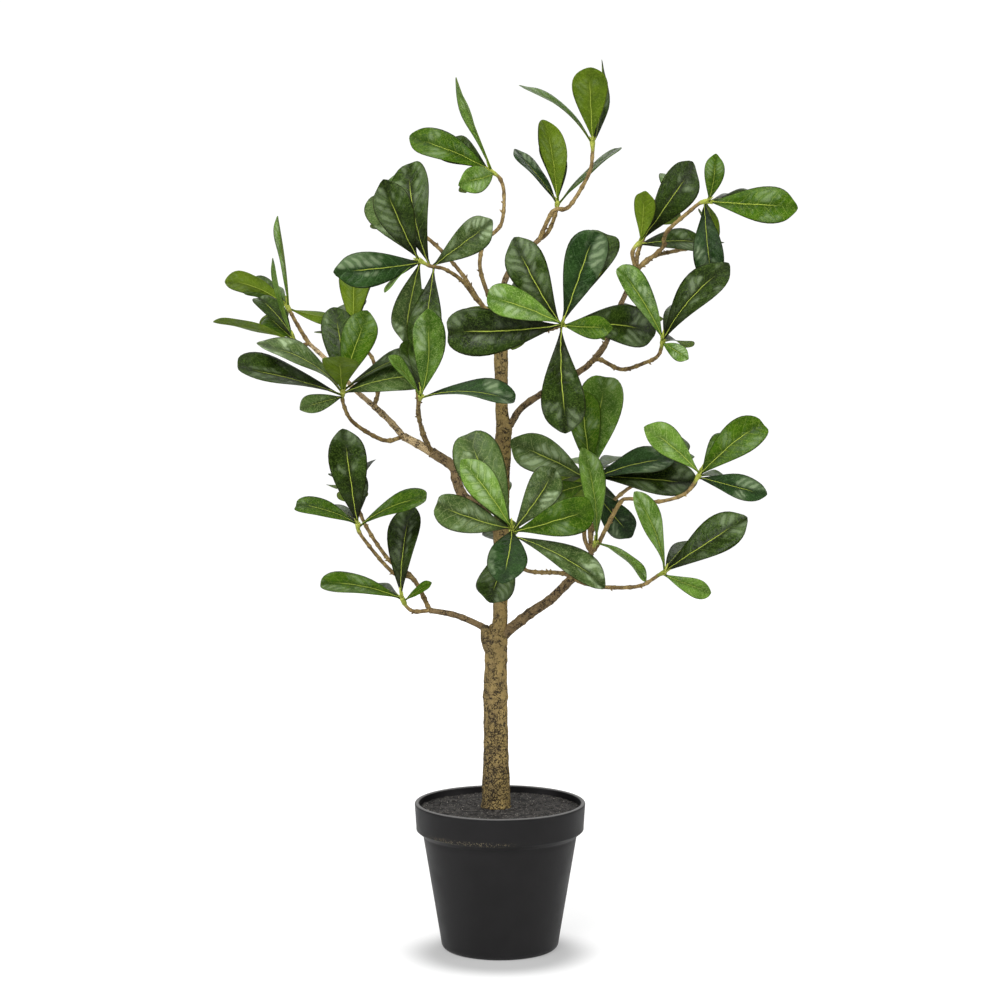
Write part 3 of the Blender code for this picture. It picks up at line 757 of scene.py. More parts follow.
def bark_material(name, lit, shaded, crest, soot, painted_side_light=False):
    """Khaki that varies in broad clouds, paler on the crests, with soot in the grooves and as dots.

    A coat with painted side light is painted lit and golden on its +X side and painted shaded and greyer on
    the other. Lines of soot crowd at a trunk's foot.
    """
    made, tree, shader, spot = new_material(name, Roughness=0.78, Specular_IOR_Level=0.25)
    clouds = cloudy(tree, spot, 14.0)
    dots = specks(tree, spot, 1.2)
    parts = split(tree, spot)
    lines = cracks(tree, spot, 2.9, 0.085, fade(tree, parts["Z"], *WORN_FOOT, 0.72, 0.46))
    sunk = fade(tree, from_mesh(tree, "sunk"), 0.25, 0.9, 0.0, 0.75)
    dark = reckon(tree, "MAXIMUM", sunk, times(tree, lines, 0.92))
    dark = reckon(tree, "MAXIMUM", dark, times(tree, dots["Dots"], 0.35))
    # painted light: the trunk's coat is painted lit and golden on its +X side and shaded and grey on the
    # other
    painted_sunny_share = fade(tree, parts["X"], *TRUNK_PAINTED_SUNNY_SIDE) if painted_side_light else 0.5
    paint = mix(tree, times_plus(tree, clouds, 0.5, times(tree, painted_sunny_share, 0.5)), shaded, lit)
    paint = mix(tree, fade(tree, dots["Grain"], 0.4, 0.7, 0.0, 0.5), paint, crest)
    tree.links.new(mix(tree, dark, paint, soot), shader["Base Color"])
    raise_bumps(tree, shader, times_plus(tree, lines, -0.8, dots["Grain"]), 0.8, 0.5)
    return made


BARKS = {  # lit, shaded, crest, soot
    "trunk_bark": ("#957f4b", "#5a4b33", "#ad975f", "#17120b"),
    "bough_bark": ("#7b6745", "#584830", "#917c58", "#211a11"),
    "pale_bough_bark": ("#b39c73", "#8e7957", "#c5b088", "#352b1e"),
}
barks = {name: bark_material(name, *map(colour, four), name == "trunk_bark") for name, four in BARKS.items()}
print("barks:", list(barks))

# %% [markdown]
# Beside the trunk's fork stands the blunt end of a cut limb, darker on top. It is a short tube with
# the same relief, joined to the trunk's coat so that the two read as one moulding.

# %% Trunk
TRUNK_COLUMNS = 120
TRUNK_SPACING = 0.75
STUMP = (  # sideways, forward, up, radius
    (-8, -2, 296, 3.5),
    (-12, -4, 308, 5.0),
    (-14, -5, 318, 5.3),
    (-14.5, -5, 327, 4.8),
    (-14.5, -5, 331, 2.6),
)
STUMP_COLUMNS = 60
STUMP_DARK_FROM = 325
STUMP_DARK_RISE = 5

stations = smooth_route([(across, 0, height, radius) for height, across, radius in TRUNK], TRUNK_SPACING)
trunk_shape = bark_shape(stations[:, :3], stations[:, 3], TRUNK_COLUMNS, seed=3)
stations = smooth_route(STUMP, TRUNK_SPACING)
stump_shape = bark_shape(stations[:, :3], stations[:, 3], STUMP_COLUMNS, seed=9)
# the stump is painted darker towards its top end
dark_top = np.clip((stump_shape["points"][:, 2] - STUMP_DARK_FROM) / STUMP_DARK_RISE, 0, 1)
stump_shape["layers"]["sunk"] = np.maximum(stump_shape["layers"]["sunk"], dark_top)
make_piece("trunk_coat", joined([trunk_shape, stump_shape]), [barks["trunk_bark"]], ["trunk"])

# %% [markdown]
# ## Boughs and twigs
# Boughs are the same bark on thinner wires, and the left one is painted paler from its middle on.
# Twigs are browner and smoother, with a small swelling wherever a leaf was once set, a few stubs,
# and a yellow-green end that swells under the leaves. A swelling is a bell curve added to the
# radius, so twigs are tubes with a radius worked out at each station, and a layer tells the finish
# where the green end starts.

# %% Boughs
BOUGH_COLUMNS = 30
BOUGH_SPACING = 1.0
BOUGH_SWELLINGS = (17, 0.14, 2.2)  # spacing, height as a share of the radius, width
PALE_BOUGHS = ("bough_left_mid", "bough_left_high", "bough_left_tip")
KNUCKLE = 0.12
KNUCKLE_WIDTH = 2.5


def bell(distance, width):
    return np.exp(-((distance / width) ** 2))


def limb_radii(along, foot, tip):
    """Radius from foot to tip, with a knuckle at the very end."""
    knuckle = 1 + KNUCKLE * bell(along - along[-1], KNUCKLE_WIDTH)
    return (foot + (tip - foot) * along / along[-1]) * knuckle


def swellings(along, spacing, height, width, draw):
    """A radius factor with bells at seeded places about one spacing apart."""
    factor = np.ones_like(along)
    place_of = draw.uniform(0.3, 1.0) * spacing
    while place_of < along[-1] - spacing * 0.4:
        factor += draw.uniform(0.5, 1.2) * height * bell(along - place_of, width)
        place_of += spacing * draw.uniform(0.6, 1.5)
    return factor


def bough_shape(name, index):
    parent, foot, thick, thin, corners = BOUGHS[name]
    route = smooth_route((foot or bough_ends[parent], *corners), BOUGH_SPACING)
    along = distance_along(route)
    radii = limb_radii(along, thick, thin) * swellings(along, *BOUGH_SWELLINGS, random.Random(name))
    return bark_shape(route, radii, BOUGH_COLUMNS, seed=20 + 7 * index)


shapes = {name: bough_shape(name, index) for index, name in enumerate(BOUGHS)}
brown_boughs = [name for name in BOUGHS if name not in PALE_BOUGHS]
for piece_name, names, bark in (
    ("bough_coats", brown_boughs, barks["bough_bark"]),
    ("bough_coats_pale", PALE_BOUGHS, barks["pale_bough_bark"]),
):
    make_piece(piece_name, joined([shapes[name] for name in names]), [bark], list(names))


# %% Twigs
TWIG_COLUMNS = 12
TWIG_SPACING = 1.3
TWIG_SWELLINGS = (16, 0.3, 1.6)
TWIG_ROUGHNESS = 0.5
TWIG_GRAIN = 2.2
STEM_RADII = (2.2, 1.7)
GREEN_END = 11.0
GREEN_FULL = 1.25  # above 1, so that the last stretch is green all through
HUB_SWELL = 0.5
HUB_WIDTH = 4.5
HUB_BACK = 2.0


def twig_route(name):
    """The corners of a spray's stem, from its foot on."""
    parent, foot, _, stem, *_ = SPRAYS[name]
    return (foot or bough_ends[parent], *stem)


def twig_shape(name, index):
    """A stem with nodes and a swollen green end, lightly roughened."""

    def relief(points, radii):
        grain = noise(points / TWIG_GRAIN, 60 + index) - 0.5
        return radii + TWIG_ROUGHNESS * grain, np.broadcast_to(green[:, None], grain.shape)

    route = smooth_route(twig_route(name), TWIG_SPACING)
    along = distance_along(route)
    left = along[-1] - along
    green = np.clip(GREEN_FULL - left / GREEN_END, 0, 1)
    radii = limb_radii(along, *STEM_RADII)
    radii = radii * swellings(along, *TWIG_SWELLINGS, random.Random(name + " twig"))
    radii = radii * (1 + HUB_SWELL * bell(left - HUB_BACK, HUB_WIDTH))
    points, greens = roughened(route, radii, TWIG_COLUMNS, relief)
    return grid_shape(points, green=greens)


twig_shapes = joined([twig_shape(name, index) for index, name in enumerate(SPRAYS)])
print("twigs:", len(SPRAYS), "with", len(twig_shapes["points"]), "points")

# %% Stubs on the twigs and scales round their ends
CONE_COLUMNS = 6
CONE_ROWS = 4
STUB_LENGTH = (3.2, 5.0)
STUB_RADIUS = 1.0
SCALES = 5
SCALE_LENGTH = (5, 9)
SCALE_RADIUS = 1.1
BUD_LENGTH = 12.0
BUD_RADIUS = 1.6
CONE_START = 0.6  # how far out from the twig's middle
SLANT = FRONT + 0.37 * UP  # no stub or scale points this way
STUB_EVERY = 22  # of the twig's stations, as the next two
STUBS_FROM = 4
BARE_END = 12
FORWARD_LEAN = (2.2, 0.8)  # for a scale and for a stub
BUD_UPTURN = 1.2
SCALE_GREEN = (0.75, 1)


def cone_shapes(feet, ways, lengths, radii, greens):
    """Small pointed tubes: radius falls as the root of 1 - t^2 from foot to tip, all worked at once."""
    share = np.linspace(0, 0.98, CONE_ROWS)
    side = unit(np.cross(ways, SLANT))
    outward = around(side, np.cross(ways, side), CONE_COLUMNS)[:, None]
    width = (radii[:, None] * np.sqrt(1 - share**2))[..., None, None]
    middle = feet[:, None, None] + ways[:, None, None] * (lengths[:, None] * share)[..., None, None]
    points = middle + outward * width
    return grid_shape(points, green=np.broadcast_to(greens[:, None, None], points.shape[:3]))


def stub_shapes(name):
    """A few short stubs that lean forward out of the twig, and pointed scales and a bud round its end."""
    draw = np.random.default_rng(list(name.encode()))
    route = smooth_route(twig_route(name), TWIG_SPACING)
    way, side, other = frames_along(route)
    end = len(route) - 2
    stubs = max(2, len(route) // STUB_EVERY)
    stub_at = draw.integers(STUBS_FROM, max(STUBS_FROM + 2, len(route) - BARE_END), stubs)
    at = np.minimum(np.concatenate((stub_at, np.full(SCALES, end))), end)
    turn = draw.uniform(0, 2 * np.pi, stubs + SCALES)
    outward = side[at] * np.cos(turn)[:, None] + other[at] * np.sin(turn)[:, None]
    is_scale = np.arange(stubs + SCALES) >= stubs
    ways = unit(outward + way[at] * np.where(is_scale, *FORWARD_LEAN)[:, None])
    lengths = np.where(is_scale, draw.uniform(*SCALE_LENGTH, len(at)), draw.uniform(*STUB_LENGTH, len(at)))
    radii = np.where(is_scale, SCALE_RADIUS, STUB_RADIUS)
    ways[-1] = unit(way[-1] + BUD_UPTURN * UP)
    lengths[-1], radii[-1] = BUD_LENGTH, BUD_RADIUS
    greens = np.where(is_scale, draw.uniform(*SCALE_GREEN, len(at)), 0.0)
    return cone_shapes(route[at] + outward * CONE_START, ways, lengths, radii, greens)


stub_cones = joined([stub_shapes(name) for name in SPRAYS])
print("stubs and scales:", len(stub_cones["points"]) // (CONE_ROWS * CONE_COLUMNS))

# %% Twig finish and piece
def twig_material():
    """Brown that turns yellow green by the layer, with pale clouds and dark dots."""
    made, tree, shader, spot = new_material("twig", Specular_IOR_Level=0.2)
    clouds = cloudy(tree, spot, 7.0)
    dots = specks(tree, spot, 1.6, 0.58)
    brown = mix(tree, clouds, colour("#604e2f"), colour("#8e794a"))
    brown = mix(tree, times(tree, dots["Dots"], 0.6), brown, colour("#2c2118"))
    fresh = mix(tree, clouds, colour("#75802a"), colour("#a2a94a"))
    fresh = mix(tree, times(tree, dots["Dots"], 0.25), fresh, colour("#5a4a22"))
    green = fade(tree, from_mesh(tree, "green"), 0.1, 0.75)
    tree.links.new(mix(tree, green, brown, fresh), shader["Base Color"])
    tree.links.new(fade(tree, clouds, 0, 1, 0.72, 0.55), shader["Roughness"])
    raise_bumps(tree, shader, dots["Grain"], 0.45, 0.3)
    return made


twig_finish = twig_material()
make_piece("twigs", twig_shapes, [twig_finish], list(SPRAYS))
make_piece("twig_stubs", stub_cones, [twig_finish], list(SPRAYS))

# %% [markdown]
# ## Leaves
# A leaf is printed cloth over a wire: a stiff blade that widens from a narrow foot to broad
# shoulders, folds a little along its midrib and bows along its length. One function works out every
# leaf of a tone at once, as a closed band round the blade: its columns run over the upper side from
# edge to edge and back under it. The two sides are separate finishes of the same mesh.

# %% Leaf outline
LEAF_WIDTH = 0.44
LEAF_FOOT = 1.2
LEAF_CLOSE = 0.5
LEAF_ROWS = 18
HALF_COLUMNS = (0.07, 0.22, 0.45, 0.7, 0.88, 1.0)
HALF_THICKNESS = 0.22
THIN_MARGIN = 0.96
RIDGE_WIDTH = 0.8
RIDGE_HEIGHT = (1.0, 0.1)  # what it loses from foot to tip, and what it keeps
RIDGE_SIDES = (0.75, 1.25)  # shares above and below the blade
TIP_START = 0.8
TIP_POWERS = (1.5, 12)  # at the midrib, and how much more at the margin
RIPPLES = 1.4
RIPPLE_SHIFT = 1.1
TWIST_CENTRE = 0.4
FOLD_SOFTNESS = (0.02, 0.14)  # what rounds the fold at the midrib, and what brings it down again
ROW_CROWDING = 1.15  # above 1, the rows at the foot draw closer together too
LAST_ROW = 0.9999  # just short of the tip, so that it has a width

across_top = np.array([-across for across in HALF_COLUMNS[::-1]] + [0.0] + list(HALF_COLUMNS))
ACROSS = np.concatenate((across_top, across_top[-2:0:-1]))
UPPER = np.concatenate((np.sign(1.0 - np.abs(across_top)), -np.ones(len(across_top) - 2)))
SHARE = np.sin(0.5 * np.pi * np.linspace(0, 1, LEAF_ROWS)) ** ROW_CROWDING
SHARE[-1] = LAST_ROW


def half_width(length, share, wide, rise):
    """Half the blade's width: share^rise (1 - share)^close over its own peak, never under the foot's."""
    peak_at = rise / (rise + LEAF_CLOSE)
    peak = peak_at**rise * (1 - peak_at) ** LEAF_CLOSE
    shape = share**rise * (1 - share) ** LEAF_CLOSE / peak
    return np.maximum(LEAF_FOOT * np.sqrt(1 - share), 0.5 * LEAF_WIDTH * wide * length * shape)


print("columns round a leaf:", len(ACROSS), "rows:", LEAF_ROWS)

# %% Leaf surface
def blade_shape(leaves):
    """Every blade as foot + along x + side y + face z, in arrays of leaf by row by column.

    x = length (share + tip pull^(1.5 + 12 across^2)), where pull runs from 0 to 1 over the last fifth:
    a positive tip draws it out to a point and a negative one pulls it in to a notch.
    y = sickle arch length + half width across cos fold, and z = bow arch length + half width times
    (sin fold times the softened distance from the midrib + a wave at the margin - a curl), plus or
    minus half the thickness, which swells at the midrib. The arch is 4 t (1 - t). A twist turns y
    and z about the leaf's length, and a veer bends its tip aside.
    """
    one = {key: np.array([leaf[key] for leaf in leaves], float) for key in leaves[0]}
    number = {key: value[:, None, None] for key, value in one.items() if value.ndim == 1}
    share = SHARE[None, :, None]
    across = ACROSS[None, None, :]
    length = number["length"]
    half = half_width(length, share, number["wide"], number["rise"])
    arch = 4 * share * (1 - share)
    near_tip = np.clip((share - TIP_START) / (1 - TIP_START), 0, 1)
    forward = share + number["tip"] * near_tip ** (TIP_POWERS[0] + TIP_POWERS[1] * across**2)
    soft = np.sqrt(across**2 + FOLD_SOFTNESS[0]) - FOLD_SOFTNESS[1]
    ripple = np.sin(2 * np.pi * RIPPLES * share + number["phase"] + RIPPLE_SHIFT * np.sign(across))
    wave = number["wave"] * ripple * across**2
    sideways = half * across * np.cos(number["fold"])
    ridge = (RIDGE_HEIGHT[0] * (1 - share) ** 3 + RIDGE_HEIGHT[1]) * bell(half * across, RIDGE_WIDTH)
    thick = HALF_THICKNESS * np.sqrt(1 - THIN_MARGIN * across**2)
    thick = thick + ridge * np.where(UPPER > 0, *RIDGE_SIDES)
    upright = half * (soft * np.sin(number["fold"]) + wave - number["curl"] * across**4) + UPPER * thick
    turn = number["twist"] * (share - TWIST_CENTRE)
    bend = number["sickle"] * arch + number["veer"] * near_tip**2
    y = bend * length + sideways * np.cos(turn) - upright * np.sin(turn)
    z = number["bow"] * arch * length + sideways * np.sin(turn) + upright * np.cos(turn)
    x = np.broadcast_to(forward * length, y.shape)
    axes = np.stack((one["along"], one["side"], one["face"]), axis=1)
    points = one["foot"][:, None, None] + np.einsum("lrcx,lxk->lrck", np.stack((x, y, z), axis=-1), axes)
    rim, tint = np.broadcast_to(np.abs(across), y.shape), np.broadcast_to(number["tint"], y.shape)
    made = grid_shape(points, rim=rim, tint=tint)
    flat = np.stack((0.5 + half * across / length, np.broadcast_to(share, y.shape)), axis=-1)
    made["flat"] = flat.reshape(-1, 2)
    under = np.tile(np.arange(len(ACROSS)) >= len(across_top) - 1, len(leaves) * (LEAF_ROWS - 1))
    made["faces_of"] = np.concatenate((under, np.zeros(len(made["caps"]), bool))).astype(np.int32)
    return made


# %% [markdown]
# Where each leaf sits follows one rule. It grows from its stem, at one of three places in turn, each
# a little further back than the last. Its upper side looks the way that the stem's end points, or,
# where a roll is given, to the front and then turned by that roll. The small random amounts are
# drawn in one fixed order from the spray's name.

# %% Leaf places
STEM_SPACING = 19
WHORL_STEP = 2.2
STEM_UPTURN = 0.8
LEAF_BOW = (0.03, 0.08)
LEAF_SICKLE = (-0.03, 0.03)
LEAF_FOLD = (8, 18)
LEAF_WIDE = (0.95, 1.05)
LEAF_RISE = (1.2, 1.55)
NOTCHED = 0.25  # share of the leaves
LEAF_NOTCH = (0.015, 0.04)
LEAF_TIP = (0.01, 0.06)
LEAF_VEER = (-0.035, 0.035)
LEAF_WAVE = (0.02, 0.09)
LEAF_CURL = (-0.02, 0.12)
LEAF_TWIST = (-0.22, 0.22)


def point_back(route, distance):
    """The point of a route that lies this far before its end, along its straight steps."""
    along = distance_along(route)
    return np.array([np.interp(along[-1] - distance, along, route[:, axis]) for axis in range(3)])


def leaf_axes(tip_way, clock, lean, roll):
    """A leaf's direction, the way its face looks and its side."""
    clock, lean = math.radians(clock), math.radians(lean)
    along = np.array((math.sin(clock) * math.cos(lean), -math.sin(lean), math.cos(clock) * math.cos(lean)))
    looks_to = tip_way if roll is None else FRONT
    face = unit(looks_to - along * looks_to.dot(along))
    turn = math.radians(roll or 0)
    face = face * math.cos(turn) + np.cross(along, face) * math.sin(turn)
    return {"along": along, "face": face, "side": np.cross(along, face)}


def spray_leaves(name):
    """The measures of each leaf of a spray, in the order in which they are listed."""
    _, _, tones, _, top, *lower = SPRAYS[name]
    route = smooth_route(twig_route(name), STEM_SPACING)
    tip_way = unit(unit(route[-1] - route[-2]) + STEM_UPTURN * UP)
    draw = random.Random(name)
    fine = random.Random(name + " leaves")
    found = []
    for back, whorl in ((0, top), *lower):
        for index, (clock, lean, length, *rest) in enumerate(whorl):
            roll, bow = (*rest, None, None)[:2]
            leaf = leaf_axes(tip_way, clock, lean, roll)
            leaf["foot"] = point_back(route, back + (index % 3) * WHORL_STEP)
            leaf["length"] = length
            usual_bow = draw.uniform(*LEAF_BOW)
            leaf["bow"] = usual_bow if bow is None else bow
            leaf["sickle"] = draw.uniform(*LEAF_SICKLE)
            leaf["fold"] = math.radians(draw.uniform(*LEAF_FOLD))
            leaf["wide"] = draw.uniform(*LEAF_WIDE)
            notched = fine.random() < NOTCHED
            leaf["rise"] = fine.uniform(*LEAF_RISE)
            leaf["tip"] = -fine.uniform(*LEAF_NOTCH) if notched else fine.uniform(*LEAF_TIP)
            leaf["veer"] = fine.uniform(*LEAF_VEER)
            leaf["wave"] = fine.uniform(*LEAF_WAVE)
            leaf["phase"] = fine.uniform(0, 2 * math.pi)
            leaf["curl"] = fine.uniform(*LEAF_CURL)
            leaf["twist"] = fine.uniform(*LEAF_TWIST)
            leaf["tint"] = fine.random()
            found.append((tones[len(found)], leaf))
    return found


by_tone = {}
sprays_with = {}
for name in SPRAYS:
    for tone, leaf in spray_leaves(name):
        by_tone.setdefault(tone, []).append(leaf)
        sprays_with.setdefault(tone, {})[name] = True
print("leaves:", {tone: len(leaves) for tone, leaves in by_tone.items()})

# %% [markdown]
# ## Leaf finish
# The print on these leaves has a thin raised midrib that is lighter than the blade, faint side
# veins that run forward to the margin, a dark margin, and a brown-black foot. The leaf's own flat
# map gives true distances from the midrib and from the foot, so that one group draws the same
# veins on every leaf, and each tone mixes its own colours with them.

# %% Vein group
VEIN_PAIRS = 9.0
VEIN_CURVE = (0.75, 1.3)
VEIN_OFFSET = 0.025


def vein_group():
    """Midrib, side veins and quilting from the flat map: all lines are bands of distance.

    With d the distance from the midrib and v the share along the leaf, a side vein lies where
    v - 0.75 d - 1.3 d^2 is a whole multiple of the spacing, and the two sides are about half a
    spacing apart. The clouds make both wander a little.
    """
    inputs = (("Vector", "Flat", None), ("Float", "Rim", 0.0), ("Float", "Clouds", 0.5))
    outputs = ("Midrib", "Side veins", "Quilting", "Off midrib", "Along")
    group, given, out = new_group("veins", inputs, outputs)
    flat = split(group, given["Flat"])
    wander = times_plus(group, given["Clouds"], 0.008, -0.004)
    offset = reckon(group, "ADD", reckon(group, "SUBTRACT", flat["X"], 0.5), wander)
    off = reckon(group, "ABSOLUTE", offset)
    midrib = fade(group, off, 0.0018, 0.006, 1.0, 0.0)
    midrib = times(group, midrib, fade(group, flat["Y"], 0.66, 0.86, 1.0, 0.0))
    curve = times(group, off, times_plus(group, off, VEIN_CURVE[1], VEIN_CURVE[0]))
    shift = times(group, reckon(group, "SIGN", offset), VEIN_OFFSET)
    phase = reckon(group, "ADD", reckon(group, "SUBTRACT", flat["Y"], curve), shift)
    phase = reckon(group, "ADD", phase, times(group, wander, 6.0))
    wave = reckon(group, "PINGPONG", times(group, phase, VEIN_PAIRS), 0.5)
    inner = fade(group, given["Rim"], 0.6, 0.97, 1.0, 0.0)
    vein = fade(group, wave, 0.0, 0.05, 1.0, 0.0)
    side_veins = times(group, vein, inner, fade(group, flat["Y"], 0.12, 0.3))
    group.links.new(midrib, out["Midrib"])
    group.links.new(side_veins, out["Side veins"])
    group.links.new(times(group, fade(group, wave, 0.0, 0.5), inner), out["Quilting"])
    group.links.new(off, out["Off midrib"])
    group.links.new(flat["Y"], out["Along"])
    return group


veins = vein_group()
print("side veins:", VEIN_PAIRS, "pairs along a leaf")

# %% Leaf material
MARGIN_BROWN = "#2a2610"
MIDRIB_GREEN = "#9fae45"
# the pale green of the painted sheen, which stands in for reflected light
PAINTED_SHEEN_GREEN = "#adc096"


def leaf_material(name, dark, light, foot, vein, edge, foot_reach, shine, painted_sheen_share):
    """A blade colour clouded between two greens, dark at the foot, with veins and a dark margin.

    The painted sheen is a pale haze beside the midrib, in broad patches between the side veins and
    stronger towards the tip, that stands in for soft light reflected by the glossy leaf.
    """
    made, tree, shader, spot = new_material(name, Specular_IOR_Level=0.08)
    rim, tint = from_mesh(tree, "rim"), from_mesh(tree, "tint")
    clouds = cloudy(tree, spot, 16.0)
    flecks = specks(tree, spot, 1.9, 0.56, 0.12)
    net = cracks(tree, spot, 2.4, 0.05, 0.62)
    flat = place(tree, "ShaderNodeUVMap", uv_map="flat").outputs["UV"]
    lines = use_group(tree, veins, {"Flat": flat, "Rim": rim, "Clouds": clouds})
    off, along = lines["Off midrib"], lines["Along"]
    paint = mix(tree, times_plus(tree, clouds, 0.55, times(tree, tint, 0.45)), dark, light)
    paint = mix(tree, times(tree, flecks["Dots"], 0.12), paint, vein)
    paint = mix(tree, times(tree, net, 0.28), paint, vein)
    # painted sheen: a pale haze in patches beside the midrib stands in for reflected light, more towards the
    # tip
    painted_sheen = times(tree, fade(tree, cloudy(tree, spot, 27.0), 0.4, 0.9), fade(tree, off, 0.012, 0.05))
    painted_sheen = times(tree, painted_sheen, fade(tree, along, 0.25, 0.7, 0.3, 1.0))
    painted_sheen = times(tree, painted_sheen, fade(tree, lines["Quilting"], 0.1, 0.9, 0.35, 1.0))
    paint = mix(tree, times(tree, painted_sheen, painted_sheen_share), paint, colour(PAINTED_SHEEN_GREEN))
    low = fade(tree, along, 0.03, foot_reach, 0.9, 0.0)
    near = fade(tree, off, 0.012, 0.08, 0.4, 0.0)
    paint = mix(tree, reckon(tree, "MAXIMUM", low, near), paint, foot)
    drawn = times_plus(tree, fade(tree, tint, 0.35, 0.9), 0.4, 0.12)
    paint = mix(tree, times(tree, lines["Side veins"], drawn), paint, vein)
    paint = mix(tree, fade(tree, rim, 0.93, 0.995, 0.0, 0.6), paint, edge)
    paint = mix(tree, times(tree, lines["Midrib"], 0.92), paint, colour(MIDRIB_GREEN))
    tree.links.new(paint, shader["Base Color"])
    rough = times_plus(tree, flecks["Grain"], 0.2, shine - 0.1)
    tree.links.new(times_plus(tree, clouds, 0.12, rough), shader["Roughness"])
    height = times_plus(tree, lines["Side veins"], -0.3, times(tree, lines["Quilting"], 0.5))
    for part, share in ((lines["Midrib"], 0.8), (flecks["Grain"], 0.4), (clouds, 1.6)):
        height = times_plus(tree, part, share, height)
    raise_bumps(tree, shader, height, 0.7, 0.5)
    return made


UNDERSIDE = ("#42590a", "#5f7614", "#495b13", "#84953c", "#5b5c22")
TONES = {  # piece, dark green, light green, foot, veins, how far the dark foot reaches, roughness, painted sheen
    "d": ("leaves_deep", "#0f1902", "#293d0d", "#12120a", "#5c7430", 0.6, 0.29, 0.22),
    "b": ("leaves_bluish", "#0f2009", "#253e18", "#0e130a", "#4c6a3c", 0.5, 0.27, 0.32),
    "g": ("leaves_greyish", "#22330f", "#455b2b", "#191d0c", "#89965e", 0.4, 0.3, 0.55),
    "f": ("leaves_fresh", "#1d3701", "#3b5b06", "#1c2a07", "#7c9038", 0.3, 0.31, 0.22),
    "y": ("leaves_young", "#2c4c0a", "#60832c", "#2c4409", "#a8be6e", 0.25, 0.34, 0.45),
}
under = leaf_material("leaf_underside", *map(colour, UNDERSIDE), 0.2, 0.5, 0.1)
for tone, (piece_name, *greens, foot_reach, shine, painted_sheen_share) in TONES.items():
    upper = leaf_material(piece_name, *map(colour, (*greens, MARGIN_BROWN)), foot_reach, shine, painted_sheen_share)
    make_piece(piece_name, blade_shape(by_tone[tone]), [upper, under], list(sprays_with[tone]))


# %% [markdown]
# ## The pot
# A nursery pot is one thin injection moulding: a band round the rim, a soft step under it, a
# straight tapering wall and a rounded foot. It is a profile turned round the axis, and the same
# rows go on over the lip and down the inner wall, so that the shell closes at both its poles.

# %% Pot shell
POT_HEIGHT = 150.0
RIM_RADIUS = 86.0
BAND_FOOT_RADIUS = 84.5
BAND_HEIGHT = 26.5
SHOULDER_RADIUS = 77.0
BODY_FOOT_RADIUS = 59.5
HEEL_ROUND = 7.0
LIP_ROUND = 1.6
WALL = 2.8
LIP = 4.5
FLOOR = 4.5
POLE_RADIUS = 0.5
TURN_COLUMNS = 144


def arc(centre, radius, start, end, steps):
    """Profile points round a centre, from one angle to another."""
    angle = np.radians(np.linspace(start, end, steps + 1))
    return np.stack((centre[0] + radius * np.cos(angle), centre[1] + radius * np.sin(angle)), axis=1)


def turned(profile, columns):
    """A profile of (radius, height) carried round the axis: (r cos a, r sin a, h)."""
    turn = np.linspace(0, 2 * np.pi, columns, endpoint=False)
    radius, height = profile[:, :1], profile[:, 1:]
    rise = np.broadcast_to(height, (len(profile), columns))
    return np.stack((radius * np.cos(turn), radius * np.sin(turn), rise), axis=-1)[None]


def pot_profile():
    """From the middle of the underside, up the outside, over the lip and down inside."""
    band_foot = POT_HEIGHT - BAND_HEIGHT
    inside, round_top = RIM_RADIUS - LIP, POT_HEIGHT - LIP_ROUND
    shoulder = SHOULDER_RADIUS - 0.4, band_foot - 13.0
    under = np.linspace(POLE_RADIUS, BODY_FOOT_RADIUS - HEEL_ROUND, 6)
    inner_foot = BODY_FOOT_RADIUS - WALL
    return np.concatenate(
        (
            np.stack((under, np.zeros(6)), axis=1)[:-1],
            arc((BODY_FOOT_RADIUS - HEEL_ROUND, HEEL_ROUND), HEEL_ROUND, -90, 0, 8),
            np.linspace((BODY_FOOT_RADIUS + 0.6, HEEL_ROUND + 4), shoulder, 16),
            arc((SHOULDER_RADIUS + 3.6, band_foot - 8.7), 3.5, 190, 137, 5),
            arc((BAND_FOOT_RADIUS - 1.6, band_foot - 0.4), 1.6, -43, 0, 5),
            np.linspace((BAND_FOOT_RADIUS + 0.1, band_foot + 3), (RIM_RADIUS - 0.1, POT_HEIGHT - 3.5), 6),
            arc((RIM_RADIUS - LIP_ROUND, round_top), LIP_ROUND, 0, 90, 5),
            arc((inside + LIP_ROUND, round_top), LIP_ROUND, 90, 180, 5),
            np.array(((inside, band_foot + 2), (SHOULDER_RADIUS - WALL, band_foot - 8))),
            np.array(((inner_foot + 1, FLOOR + 2), (inner_foot - 2, FLOOR), (POLE_RADIUS, FLOOR))),
        )
    )


pot_shape = grid_shape(turned(pot_profile(), TURN_COLUMNS))
print("pot:", len(pot_profile()), "rows of", TURN_COLUMNS, "points")

# %% Pot finish
SPECKLED_FRONT = (-0.03, -0.07)  # metres along Y, from bare to speckled
SPECKLED_LEFT = (0.02, -0.01)  # metres along X, from bare to speckled


